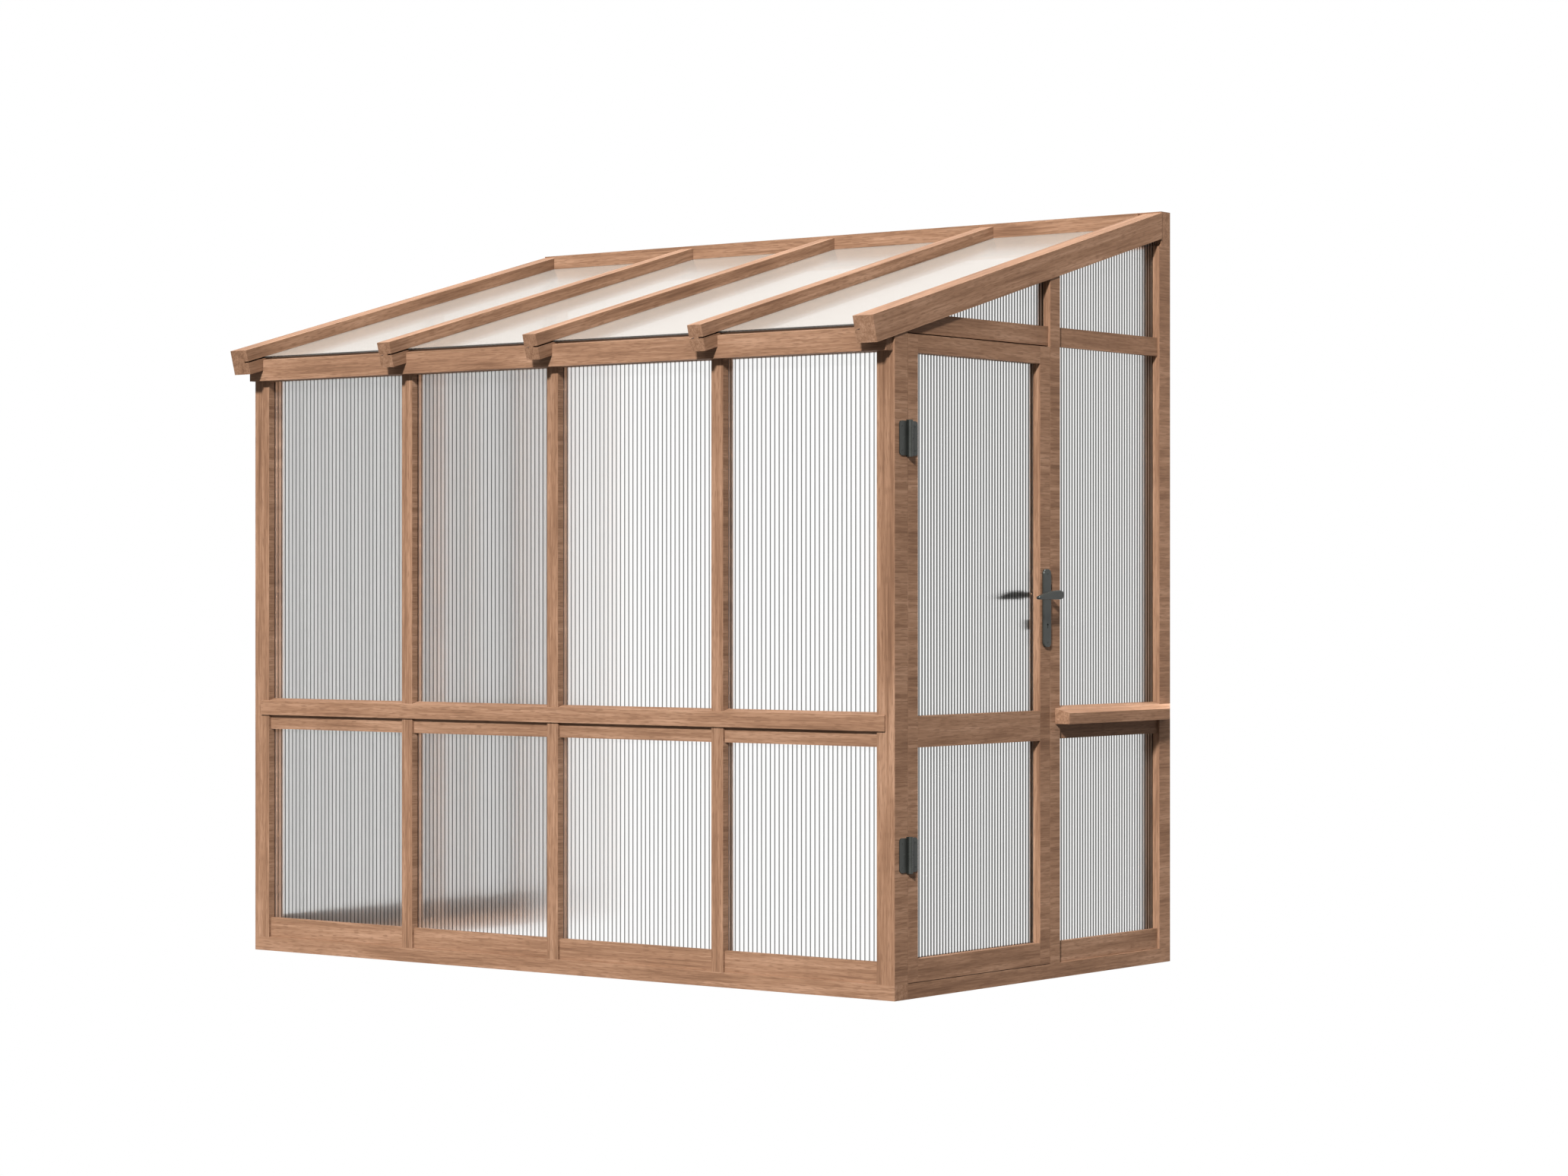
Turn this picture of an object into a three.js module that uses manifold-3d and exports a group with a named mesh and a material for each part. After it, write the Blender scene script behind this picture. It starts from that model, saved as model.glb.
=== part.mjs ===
// Timber lean-to greenhouse with twin-wall glazing sheets and one outward-opening door.
// Millimetres, +Z up. X runs along the front wall, Y runs back to the house wall.
// The origin is the middle of the underside of the front sole plate.

import * as THREE from 'three';
import Module from 'manifold-3d';
import { mergeVertices } from 'three/addons/utils/BufferGeometryUtils.js';

const wasm = await Module();
wasm.setup();

// Overall size
const LENGTH = 2440;             // over the faces of the corner posts
const DEPTH = 1406;              // front face to the house wall
const EAVES_HEIGHT = 1755;       // underside of the eaves beam
const ROOF_PITCH = 15;           // degrees

// Clearances
const FIT = 0.3;                 // between a joint's two timbers, and between a sheet and its groove
const DOOR_SIDE_GAP = 2;         // door stile to post
const DOOR_FOOT_GAP = 2;         // door to sole plate
const DOOR_HEAD_GAP = 4;         // door to lintel
const MOVING_FIT = 0.4;          // a bolt or spindle in its way

// Frame timbers
const SOLE_DEPTH = 60;
const SOLE_HEIGHT = 42;
const POST = 60;                 // corner and rear posts, square
const STUD_WIDTH = 42;
const STUD_DEPTH = 46;
const STUD_PLACES = [642, 1218, 1828];   // centres, from the left end
const MID_POST_WIDTH = 50;       // post beside the door, and its twin on the left
const MID_POST_DEPTH = 46;
const DOORWAY = 698;             // corner post to the post beside the door
const RAIL_SETBACK = 8;          // rails behind the posts' outer faces
const FOOT_RAIL_HEIGHT = 60;
const WAIST_HEIGHT = 684;        // underside of the waist rail
const WAIST_RAIL_HEIGHT = 43;
const HOUSING = 15;              // depth of the rails' housings in the posts

// Sills
const SILL_NOSE = 43;            // height of the front edge
const FRONT_SILL_PROUD = 6;
const FRONT_SILL_LAP = 30;       // over the face of each corner post
const SIDE_SILL_PROUD = 49;
const SILL_SPLAY = 80;           // length of the slanting cut at the side sill's rear end
const SILL_FALL = 15;            // degrees, slope of the top

// Eaves beam
const BEAM_FACE = 63;            // height of the front face
const BEAM_DEPTH = 73;
const BEAM_PROUD = 30;
const BEAM_END_INSET = 6.5;      // short of the corner, behind the post's cheek

// Roof timbers
const RAFTER_DEPTH = 75;
const RAFTER_WIDTH = 50;
const END_RAFTER_WIDTH = 68;
const END_RAFTER_PROUD = 3;
const RAFTER_SEAT = 30;          // depth of the notch over the eaves beam
const RAFTER_TAIL = 73.5;        // reach in front of the beam
const RIDGE_THICKNESS = 50;      // against the house, over the whole length
const RIDGE_LIP = 27;            // thicker part between the end rafters
const RIDGE_LIP_DROP = 4;        // lip below the board's top
const RIDGE_HEIGHT = 103;
const RIDGE_UP = 4;              // above the end rafters

// Glazing sheets
const SHEET = 4;
const SHEET_INSET = 24;          // behind the posts' outer faces
const GROOVE = 12;               // groove depth in posts and door
const BITE = 10;                 // sheet edge in a post's groove
const EDGE_GROOVE = 8;           // groove depth in soles, beam, lintel, ridge and rafter undersides
const EDGE_BITE = 6;
const ROOF_SHEET_SINK = 35;      // sheet below the rafters' top
const ROOF_SHEET_BACK = 6;       // sheet's front edge behind the beam's face
const ROOF_GROOVE = 17;
const ROOF_BITE = 15;

// Lintel over the door and the bay beside it
const LINTEL_HEIGHT = 55;
const LINTEL_NOSE = 3;           // what is left of it at the corner post
const LINTEL_DEPTH = 46;
const DOOR_STOP = 12;            // height of the lip behind the door's head
const DOOR_STOP_PLAY = 1;        // between the lip and the door's back

// Door
const DOOR_THICKNESS = 38;
const HINGE_STILE = 46;
const LOCK_STILE = 50;
const DOOR_TOP_RAIL = 50;
const DOOR_WAIST_LOW = 681;      // underside of the waist rail, above the ground
const DOOR_WAIST_RAIL = 85;
const DOOR_FOOT_RAIL = 62;
const TENON = 25;
const TENON_THICKNESS = 12;
const TENON_INSET = 9;           // behind the door's outer face
const TENON_SHOULDER = 0.2;      // share of the rail's height, above and below the tenon

// Hinges
const HINGE_HEIGHT = 100;
const HINGE_UP = 297;            // door's foot to the lower hinge
const HINGE_DOWN = 234;          // door's head to the upper hinge
const HINGE_LEAF = 34;           // flat width beyond the knuckles
const HINGE_PLATE = 3;
const HINGE_CORNER = 11;
const LEAF_SHORT = 3;            // leaf short of the knuckles, at each end
const KNUCKLE_RADIUS = 7.2;
const HINGE_PIN_RADIUS = 3;
const HINGE_AXIS_OUT = 8;        // in front of the wall face
const KNUCKLES = 5;

// Lock
const LOCK_HEIGHT = 1096;        // spindle, above the ground
const KEY_DROP = 85;             // key axis below the spindle
const BACKSET = 23;
const LOCK_INSET = 19;           // middle of the case, behind the door's outer face
const CASE_WIDTH = 14;
const CASE_DEPTH = 34;
const CASE_WALL = 2;
const CASE_ABOVE = 45;
const CASE_BELOW = 118;
const FOREND = 3;
const FOREND_WIDTH = 20;
const FOREND_LAP = 12;           // beyond the case, at each end
const LATCH_UP = 22;             // above the spindle
const LATCH_HEIGHT = 12;
const LATCH_THICKNESS = 10;
const LATCH_THROW = 8;
const LATCH_TAIL = 20;
const LATCH_LAND = 1;            // square part of the nose before its bevel
const DEADBOLT_UP = 24;          // above the key axis
const DEADBOLT_HEIGHT = 18;
const DEADBOLT_THICKNESS = 10;
const DEADBOLT_LENGTH = 29;
const DEADBOLT_THROW = 14;
const KEEP_THICKNESS = 2;
const KEEP_WIDTH = 22;
const KEEP_LAP = 14;             // beyond the pockets, at each end
const POCKET_ROOM = 1.5;         // around a bolt in the post

// Handle furniture
const PLATE_WIDTH = 37;
const PLATE_CORNER = 14;
const PLATE_THICKNESS = 8;
const PLATE_ABOVE = 74;          // above the spindle
const PLATE_BELOW = 149;
const PLATE_BEVEL = 2.5;
const SPINDLE = 8;               // square
const NECK_RADIUS = 8;
const NECK_LENGTH = 34;
const LEVER_ARM = 112;
const LEVER_THICKNESS = 13;
const LEVER_ROOT_RADIUS = 13;
const LEVER_TIP_RADIUS = 5;
const LEVER_DROOP = 8;
const KEY_BORE_RADIUS = 5;
const KEYHOLE_RADIUS = 3.5;
const KEYHOLE_SLOT = 3;
const KEYHOLE_DROP = 10;
const TURN_SHAFT_RADIUS = 4;
const TURN_WIDTH = 28;
const TURN_THICKNESS = 9;
const TURN_REACH = 22;

// Flat sides that stand for a curve
const BAR_SIDES = 24;
const CURVE_STEPS = 8;

// Places worked out from the sizes above
const FRONT = -SOLE_DEPTH / 2;
const HOUSE = FRONT + DEPTH;
const HALF = LENGTH / 2;
const RIGHT = 1;
const LEFT = -1;
const SLOPE = Math.tan(THREE.MathUtils.degToRad(ROOF_PITCH));
const SIN = Math.sin(THREE.MathUtils.degToRad(ROOF_PITCH));
const COS = Math.cos(THREE.MathUtils.degToRad(ROOF_PITCH));
const BEAM_FRONT = FRONT - BEAM_PROUD;
const BEAM_BACK = BEAM_FRONT + BEAM_DEPTH;
const RIDGE_FACE = HOUSE - RIDGE_THICKNESS;
const RIDGE_FRONT = RIDGE_FACE - RIDGE_LIP;
const RAIL_BACK = SHEET_INSET - FIT;
const POST_BACK = FRONT + POST;
const MID_POST_FRONT = POST_BACK + DOORWAY;
const MID_POST_BACK = MID_POST_FRONT + MID_POST_WIDTH;
const REAR_POST_FRONT = HOUSE - POST;
const WAIST_TOP = WAIST_HEIGHT + WAIST_RAIL_HEIGHT;
const FAR = 4 * DEPTH;           // past everything, for cutters

// Colours
const timber = () => new THREE.MeshStandardMaterial({ color: 0xa57d5f, roughness: 0.75, metalness: 0 });
const glazing = () => new THREE.MeshStandardMaterial({
  color: 0xe8e8e6, roughness: 0.25, metalness: 0, transparent: true, opacity: 0.45,
});
const darkMetal = () => new THREE.MeshStandardMaterial({ color: 0x4a4c4a, roughness: 0.5, metalness: 0.4 });
const steel = () => new THREE.MeshStandardMaterial({ color: 0xa8aaac, roughness: 0.35, metalness: 0.9 });

const greenhouse = new THREE.Group();

// Height of the line that lies `under` millimetres square below the rafters' top
function roofLine(y, under) {
  const beamTop = EAVES_HEIGHT + BEAM_FACE + (y - BEAM_FRONT) * SLOPE;
  return beamTop + (RAFTER_DEPTH - RAFTER_SEAT - under) / COS;
}

function raftersUnderside(y) {
  return roofLine(y, RAFTER_DEPTH);
}

// Where the rafters' underside reaches a height
function underRaftersAt(z) {
  return FRONT + (z - raftersUnderside(FRONT)) / SLOPE;
}

function solidOf(geometry) {
  const bare = geometry.clone();
  bare.deleteAttribute('normal');
  bare.deleteAttribute('uv');
  const merged = mergeVertices(bare, 1e-4);
  return new wasm.Manifold(new wasm.Mesh({
    numProp: 3,
    vertProperties: new Float32Array(merged.attributes.position.array),
    triVerts: new Uint32Array(merged.index.array),
  }));
}

function addMesh(name, solid, material) {
  const result = solid.getMesh();
  const geometry = new THREE.BufferGeometry();
  geometry.setAttribute('position', new THREE.BufferAttribute(result.vertProperties, 3));
  geometry.setIndex(new THREE.BufferAttribute(result.triVerts, 1));
  geometry.computeVertexNormals();
  const mesh = new THREE.Mesh(geometry, material);
  mesh.name = name;
  greenhouse.add(mesh);
}

// Box between two corners, given as x, y and z pairs in either order
function block(...pairs) {
  const box = new THREE.BoxGeometry();
  const corners = box.attributes.position;
  for (let corner = 0; corner < corners.count; corner += 1) {
    pairs.forEach((pair, axis) => {
      const end = corners.getComponent(corner, axis) < 0 ? Math.min(...pair) : Math.max(...pair);
      corners.setComponent(corner, axis, end);
    });
  }
  return solidOf(box);
}

function outlineOf(points) {
  return new THREE.Shape(points.map(([a, b]) => new THREE.Vector2(a, b)));
}

// Outline in Y and Z, carried along X
function alongX(shape, [xa, xb], options = {}) {
  const depth = Math.abs(xb - xa);
  const geometry = new THREE.ExtrudeGeometry(shape, { depth, bevelEnabled: false, ...options });
  geometry.applyMatrix4(new THREE.Matrix4().makeBasis(
    new THREE.Vector3(0, 1, 0), new THREE.Vector3(0, 0, 1), new THREE.Vector3(1, 0, 0)));
  geometry.translate(Math.min(xa, xb), 0, 0);
  return solidOf(geometry);
}

function profileAlongX(points, range) {
  return alongX(outlineOf(points), range);
}

// Outline in X and Y, carried up
function upright(shape, [za, zb]) {
  const geometry = new THREE.ExtrudeGeometry(shape, { depth: zb - za, bevelEnabled: false });
  geometry.translate(0, 0, za);
  return solidOf(geometry);
}

// Round bar along X
function roundAlongX(radius, [xa, xb], y, z) {
  const bar = new THREE.CylinderGeometry(radius, radius, Math.abs(xb - xa), BAR_SIDES);
  bar.rotateZ(Math.PI / 2);
  bar.translate((xa + xb) / 2, y, z);
  return solidOf(bar);
}

// Round bar standing up
function roundUpright(radius, x, y, [za, zb]) {
  const bar = new THREE.CylinderGeometry(radius, radius, zb - za, BAR_SIDES);
  bar.rotateX(Math.PI / 2);
  bar.translate(x, y, (za + zb) / 2);
  return solidOf(bar);
}

// X of a plane that lies `inset` behind the outer face of a side wall
function sideX(side, inset) {
  return side * (HALF - inset);
}

// Pair of planes round a piece between two insets, with room on both faces
function sidePair(side, from, to, room = 0) {
  return [sideX(side, from - room), sideX(side, to + room)];
}

function frontPair(from, to, room = 0) {
  return [FRONT + from - room, FRONT + to + room];
}

// Everything over the rafters' underside, from one y to another
function roofSpace(yFrom, yTo, gap) {
  const points = [
    [yFrom, raftersUnderside(yFrom) - gap],
    [yTo, raftersUnderside(yTo) - gap],
    [yTo, FAR],
    [yFrom, FAR],
  ];
  return profileAlongX(points, [-HALF - POST, HALF + POST]);
}

// Band parallel with the roof between two depths under the rafters' top, cut square in front
function roofBand(yFront, yBack, upper, lower) {
  const drop = lower - upper;
  return [
    [yFront, roofLine(yFront, upper)],
    [yFront + drop * SIN, roofLine(yFront, upper) - drop * COS],
    [yBack, roofLine(yBack, lower)],
    [yBack, roofLine(yBack, upper)],
  ];
}

// Sole plates

function frontSole() {
  const groove = block([-HALF + POST - GROOVE, HALF - POST + GROOVE],
    frontPair(SHEET_INSET, SHEET_INSET + SHEET, FIT), [SOLE_HEIGHT - EDGE_GROOVE, FAR]);
  const sideGroove = block(sidePair(LEFT, SHEET_INSET, SHEET_INSET + SHEET, FIT),
    [POST_BACK - GROOVE, POST_BACK + POST], [SOLE_HEIGHT - EDGE_GROOVE, FAR]);
  const plate = block([-HALF, HALF], [FRONT, FRONT + SOLE_DEPTH], [0, SOLE_HEIGHT]);
  addMesh('front_sole_plate', plate.subtract(groove).subtract(sideGroove), timber());
}

function sideSole(side, name, grooveFrom) {
  const groove = block(sidePair(side, SHEET_INSET, SHEET_INSET + SHEET, FIT),
    [grooveFrom, REAR_POST_FRONT + GROOVE], [SOLE_HEIGHT - EDGE_GROOVE, FAR]);
  const plate = block(sidePair(side, 0, SOLE_DEPTH), [FRONT + SOLE_DEPTH, HOUSE], [0, SOLE_HEIGHT]);
  addMesh(name, plate.subtract(groove), timber());
}

// Posts of the front wall

// Space of the two front rails, grown by the joint clearance
function frontRailSpace(range) {
  const faces = frontPair(RAIL_SETBACK, RAIL_BACK, FIT);
  const foot = block(range, faces, [0, SOLE_HEIGHT + FOOT_RAIL_HEIGHT + FIT]);
  const waist = block(range, faces, [WAIST_HEIGHT - FIT, WAIST_TOP + FIT]);
  return foot.add(waist);
}

function sideRailSpace(side, range) {
  const faces = sidePair(side, RAIL_SETBACK, RAIL_BACK, FIT);
  const foot = block(faces, range, [0, SOLE_HEIGHT + FOOT_RAIL_HEIGHT + FIT]);
  const waist = block(faces, range, [WAIST_HEIGHT - FIT, WAIST_TOP + FIT]);
  return foot.add(waist);
}

function beamSpace(gap) {
  const points = [
    [BEAM_FRONT - gap, EAVES_HEIGHT],
    [BEAM_BACK + gap, EAVES_HEIGHT],
    [BEAM_BACK + gap, roofLine(BEAM_BACK + gap, RAFTER_DEPTH - RAFTER_SEAT) + gap],
    [BEAM_FRONT - gap, roofLine(BEAM_FRONT - gap, RAFTER_DEPTH - RAFTER_SEAT) + gap],
  ];
  return profileAlongX(points, [-HALF + BEAM_END_INSET - gap, HALF - BEAM_END_INSET + gap]);
}

// Corner post: stands on the sole, runs up behind the eaves beam to the end rafter
function cornerPost(side, name) {
  const inner = sideX(side, POST);
  const bodyPoints = [
    [FRONT, SOLE_HEIGHT],
    [POST_BACK, SOLE_HEIGHT],
    [POST_BACK, raftersUnderside(POST_BACK) - FIT],
    [FRONT, raftersUnderside(FRONT) - FIT],
  ];
  const sheetGroove = block([inner - side * POST, inner + side * GROOVE],
    frontPair(SHEET_INSET, SHEET_INSET + SHEET, FIT), [0, EAVES_HEIGHT]);
  let post = profileAlongX(bodyPoints, sidePair(side, 0, POST));
  post = post.subtract(beamSpace(FIT));
  post = post.subtract(sheetGroove);
  post = post.subtract(frontRailSpace([inner - side * POST, inner + side * (HOUSING + FIT)]));
  if (side === LEFT) {
    const sideGroove = block(sidePair(side, SHEET_INSET, SHEET_INSET + SHEET, FIT),
      [POST_BACK - GROOVE, POST_BACK + POST], [0, FAR]);
    post = post.subtract(sideGroove);
    post = post.subtract(sideRailSpace(side, [POST_BACK - HOUSING - FIT, POST_BACK + POST]));
  }
  addMesh(name, post, timber());
}

function studX(index) {
  return -HALF + STUD_PLACES[index];
}

function frontStud(index) {
  const centre = studX(index);
  const left = centre - STUD_WIDTH / 2;
  const right = centre + STUD_WIDTH / 2;
  const sheetSpace = frontPair(SHEET_INSET, SHEET_INSET + SHEET, FIT);
  let stud = block([left, right], [FRONT, FRONT + STUD_DEPTH], [SOLE_HEIGHT, EAVES_HEIGHT]);
  stud = stud.subtract(block([left - POST, left + GROOVE], sheetSpace, [0, FAR]));
  stud = stud.subtract(block([right - GROOVE, right + POST], sheetSpace, [0, FAR]));
  stud = stud.subtract(frontRailSpace([left - POST, right + POST]));
  addMesh(`front_stud_${index + 1}`, stud, timber());
}

// Rails and sill of the front wall

function frontRails() {
  const reach = HALF - POST + HOUSING;
  const faces = frontPair(RAIL_SETBACK, RAIL_BACK);
  addMesh('front_foot_rail',
    block([-reach, reach], faces, [SOLE_HEIGHT, SOLE_HEIGHT + FOOT_RAIL_HEIGHT]), timber());
  addMesh('front_waist_rail', block([-reach, reach], faces, [WAIST_HEIGHT, WAIST_TOP]), timber());
}

// Sill section: distance out from the wall face, and height
function sillPoints(proud) {
  const fall = Math.tan(THREE.MathUtils.degToRad(SILL_FALL));
  const rise = (proud + RAIL_BACK) * fall;
  const nose = WAIST_TOP + SILL_NOSE - (proud - FRONT_SILL_PROUD) * fall;
  return [[proud, WAIST_TOP], [-RAIL_BACK, WAIST_TOP], [-RAIL_BACK, nose + rise], [proud, nose]];
}

function frontSill() {
  const points = sillPoints(FRONT_SILL_PROUD).map(([out, z]) => [FRONT - out, z]);
  const reach = HALF - FRONT_SILL_LAP;
  const behindFace = [FRONT - FIT, FAR];
  let sill = profileAlongX(points, [-reach, reach]);
  for (const side of [LEFT, RIGHT]) {
    sill = sill.subtract(block([sideX(side, POST + FIT), sideX(side, -POST)], behindFace, [0, FAR]));
  }
  for (const index of STUD_PLACES.keys()) {
    const room = STUD_WIDTH / 2 + FIT;
    sill = sill.subtract(block([studX(index) - room, studX(index) + room], behindFace, [0, FAR]));
  }
  addMesh('front_sill', sill, timber());
}

function eavesBeam() {
  const groove = block([-HALF + POST - GROOVE, HALF - POST + GROOVE],
    frontPair(SHEET_INSET, SHEET_INSET + SHEET, FIT), [0, EAVES_HEIGHT + EDGE_GROOVE]);
  addMesh('eaves_beam', beamSpace(0).subtract(groove), timber());
}

function frontSheets() {
  const edges = [...STUD_PLACES.keys()].flatMap((index) => [
    studX(index) - STUD_WIDTH / 2,
    studX(index) + STUD_WIDTH / 2,
  ]);
  const limits = [-HALF + POST, ...edges, HALF - POST];
  for (let bay = 0; bay < limits.length / 2; bay += 1) {
    const across = [limits[2 * bay] - BITE, limits[2 * bay + 1] + BITE];
    const sheet = block(across, frontPair(SHEET_INSET, SHEET_INSET + SHEET),
      [SOLE_HEIGHT - EDGE_BITE, EAVES_HEIGHT + EDGE_BITE]);
    addMesh(`front_sheet_${bay + 1}`, sheet, glazing());
  }
}

// Side walls

const LINTEL_LOW = raftersUnderside(POST_BACK) - LINTEL_NOSE;
const LINTEL_TOP = LINTEL_LOW + LINTEL_HEIGHT;
const GABLE_TIP = underRaftersAt(LINTEL_TOP);
const DOOR_FRONT = POST_BACK + DOOR_SIDE_GAP;
const DOOR_BACK = MID_POST_FRONT - DOOR_SIDE_GAP;
const DOOR_LOW = SOLE_HEIGHT + DOOR_FOOT_GAP;
const DOOR_TOP = LINTEL_LOW - DOOR_HEAD_GAP;
const SPINDLE_Y = DOOR_BACK - BACKSET;
const KEY_HEIGHT = LOCK_HEIGHT - KEY_DROP;
const LATCH_HEIGHT_UP = LOCK_HEIGHT + LATCH_UP;
const DEADBOLT_CENTRE = KEY_HEIGHT + DEADBOLT_UP;

function lintelSpace(gap) {
  return block(sidePair(RIGHT, RAIL_SETBACK, RAIL_BACK, gap),
    [MID_POST_FRONT - POST, REAR_POST_FRONT + HOUSING + gap], [LINTEL_LOW - gap, LINTEL_TOP + gap]);
}

function midPost(side, name) {
  let post = block(sidePair(side, 0, MID_POST_DEPTH), [MID_POST_FRONT, MID_POST_BACK], [SOLE_HEIGHT, FAR]);
  const sheetFaces = sidePair(side, SHEET_INSET, SHEET_INSET + SHEET, FIT);
  const frontGrooveLow = side === RIGHT ? LINTEL_TOP - EDGE_GROOVE : 0;
  post = post.subtract(roofSpace(FRONT, HOUSE, FIT));
  post = post.subtract(block(sheetFaces, [MID_POST_BACK - GROOVE, MID_POST_BACK + POST], [0, FAR]));
  post = post.subtract(
    block(sheetFaces, [MID_POST_FRONT - POST, MID_POST_FRONT + GROOVE], [frontGrooveLow, FAR]));
  if (side === RIGHT) {
    post = post.subtract(sideRailSpace(side, [MID_POST_BACK - HOUSING - FIT, MID_POST_BACK + POST]));
    post = post.subtract(lintelSpace(FIT));
    post = post.subtract(keepPockets());
  } else {
    post = post.subtract(sideRailSpace(side, [MID_POST_FRONT - POST, MID_POST_BACK + POST]));
  }
  addMesh(name, post, timber());
}

function ridgeTop() {
  return roofLine(RIDGE_FACE, 0) + RIDGE_UP;
}

function rearPost(side, name) {
  const sheetFaces = sidePair(side, SHEET_INSET, SHEET_INSET + SHEET, FIT);
  const height = [SOLE_HEIGHT, ridgeTop() - RIDGE_HEIGHT];
  let post = block(sidePair(side, 0, POST), [REAR_POST_FRONT, HOUSE], height);
  post = post.subtract(roofSpace(FRONT, RIDGE_FACE, FIT));
  post = post.subtract(block(sheetFaces, [REAR_POST_FRONT - POST, REAR_POST_FRONT + GROOVE], [0, FAR]));
  post = post.subtract(sideRailSpace(side, [REAR_POST_FRONT - POST, REAR_POST_FRONT + HOUSING + FIT]));
  if (side === RIGHT) {
    post = post.subtract(lintelSpace(FIT));
  }
  addMesh(name, post, timber());
}

function sideRails(side, prefix, startFace) {
  const range = [startFace - HOUSING, REAR_POST_FRONT + HOUSING];
  const faces = sidePair(side, RAIL_SETBACK, RAIL_BACK);
  const foot = block(faces, range, [SOLE_HEIGHT, SOLE_HEIGHT + FOOT_RAIL_HEIGHT]);
  addMesh(`${prefix}_foot_rail`, foot, timber());
  addMesh(`${prefix}_waist_rail`, block(faces, range, [WAIST_HEIGHT, WAIST_TOP]), timber());
}

// Deep ledge outside the bay beside the door, notched round both posts and splayed at the house
function rightSill() {
  const shape = outlineOf(sillPoints(SIDE_SILL_PROUD));
  const start = MID_POST_FRONT + MID_POST_WIDTH / 2;
  const geometry = new THREE.ExtrudeGeometry(shape, { depth: HOUSE - start, bevelEnabled: false });
  geometry.applyMatrix4(new THREE.Matrix4().makeBasis(
    new THREE.Vector3(1, 0, 0), new THREE.Vector3(0, 0, 1), new THREE.Vector3(0, -1, 0)));
  geometry.translate(HALF, HOUSE, 0);
  const inside = [sideX(RIGHT, -FIT), 0];
  let sill = solidOf(geometry);
  sill = sill.subtract(block(inside, [start - POST, MID_POST_BACK + FIT], [0, FAR]));
  sill = sill.subtract(block(inside, [REAR_POST_FRONT - FIT, HOUSE + POST], [0, FAR]));
  const splay = outlineOf([
    [HALF, HOUSE],
    [HALF + 2 * SIDE_SILL_PROUD, HOUSE - 2 * SILL_SPLAY],
    [HALF + 2 * SIDE_SILL_PROUD, HOUSE + POST],
    [HALF, HOUSE + POST],
  ]);
  addMesh('right_sill', sill.subtract(upright(splay, [0, FAR])), timber());
}

// Lintel: a thin rail through both posts, thick over the door, with a stop lip and a sheet groove
function rightLintel() {
  const nosePoints = [
    [POST_BACK + FIT, LINTEL_LOW],
    [MID_POST_FRONT - FIT, LINTEL_LOW],
    [MID_POST_FRONT - FIT, LINTEL_TOP],
    [POST_BACK + FIT, LINTEL_TOP],
  ];
  const overDoor = profileAlongX(nosePoints, sidePair(RIGHT, RAIL_SETBACK, LINTEL_DEPTH));
  const stop = block(sidePair(RIGHT, DOOR_THICKNESS + DOOR_STOP_PLAY, LINTEL_DEPTH),
    [POST_BACK + FIT, MID_POST_FRONT - FIT], [LINTEL_LOW - DOOR_STOP, LINTEL_LOW + FIT]);
  const groove = block(sidePair(RIGHT, SHEET_INSET, SHEET_INSET + SHEET, FIT),
    [POST_BACK, MID_POST_FRONT], [LINTEL_TOP - EDGE_GROOVE, FAR]);
  let lintel = lintelSpace(0).add(overDoor).add(stop);
  lintel = lintel.subtract(groove);
  lintel = lintel.subtract(roofSpace(FRONT, HOUSE, FIT));
  addMesh('right_lintel', lintel, timber());
}

// Side sheet from the sole up into the end rafter
function sideSheet(side, name, yFrom, yTo) {
  const points = [
    [yFrom, SOLE_HEIGHT - EDGE_BITE],
    [yTo, SOLE_HEIGHT - EDGE_BITE],
    [yTo, roofLine(yTo, RAFTER_DEPTH - EDGE_BITE)],
    [yFrom, roofLine(yFrom, RAFTER_DEPTH - EDGE_BITE)],
  ];
  const sheet = profileAlongX(points, sidePair(side, SHEET_INSET, SHEET_INSET + SHEET));
  addMesh(name, sheet.subtract(beamSpace(FIT)), glazing());
}

function gableSheet() {
  const low = LINTEL_TOP - EDGE_BITE;
  const back = MID_POST_FRONT + BITE;
  const points = [
    [GABLE_TIP, low],
    [back, low],
    [back, roofLine(back, RAFTER_DEPTH - EDGE_BITE)],
    [GABLE_TIP, roofLine(GABLE_TIP, RAFTER_DEPTH - EDGE_BITE)],
  ];
  const sheet = profileAlongX(points, sidePair(RIGHT, SHEET_INSET, SHEET_INSET + SHEET));
  addMesh('door_gable_sheet', sheet, glazing());
}

// Roof

// Rafter from its tail to the ridge board, notched over the beam and grooved for the sheets
function rafter(name, [left, right], { grooveLeft, grooveRight, side }) {
  const tail = BEAM_FRONT - RAFTER_TAIL;
  const head = (side ? RIDGE_FACE : RIDGE_FRONT) - FIT;
  let body = profileAlongX(roofBand(tail, head, 0, RAFTER_DEPTH), [left, right]);
  const sheetBand = roofBand(tail - POST, RIDGE_FRONT + POST,
    ROOF_SHEET_SINK - FIT, ROOF_SHEET_SINK + SHEET + FIT);
  body = body.subtract(beamSpace(FIT));
  if (grooveLeft) {
    body = body.subtract(profileAlongX(sheetBand, [left - POST, left + ROOF_GROOVE]));
  }
  if (grooveRight) {
    body = body.subtract(profileAlongX(sheetBand, [right - ROOF_GROOVE, right + POST]));
  }
  if (side) {
    const start = side === RIGHT ? GABLE_TIP - FIT : POST_BACK - GROOVE;
    const points = roofBand(start, REAR_POST_FRONT + GROOVE, RAFTER_DEPTH - EDGE_GROOVE, RAFTER_DEPTH + POST);
    points[1] = [start, points[2][1] - (points[2][0] - start) * SLOPE];
    body = body.subtract(profileAlongX(points, sidePair(side, SHEET_INSET, SHEET_INSET + SHEET, FIT)));
  }
  addMesh(name, body, timber());
}

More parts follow.
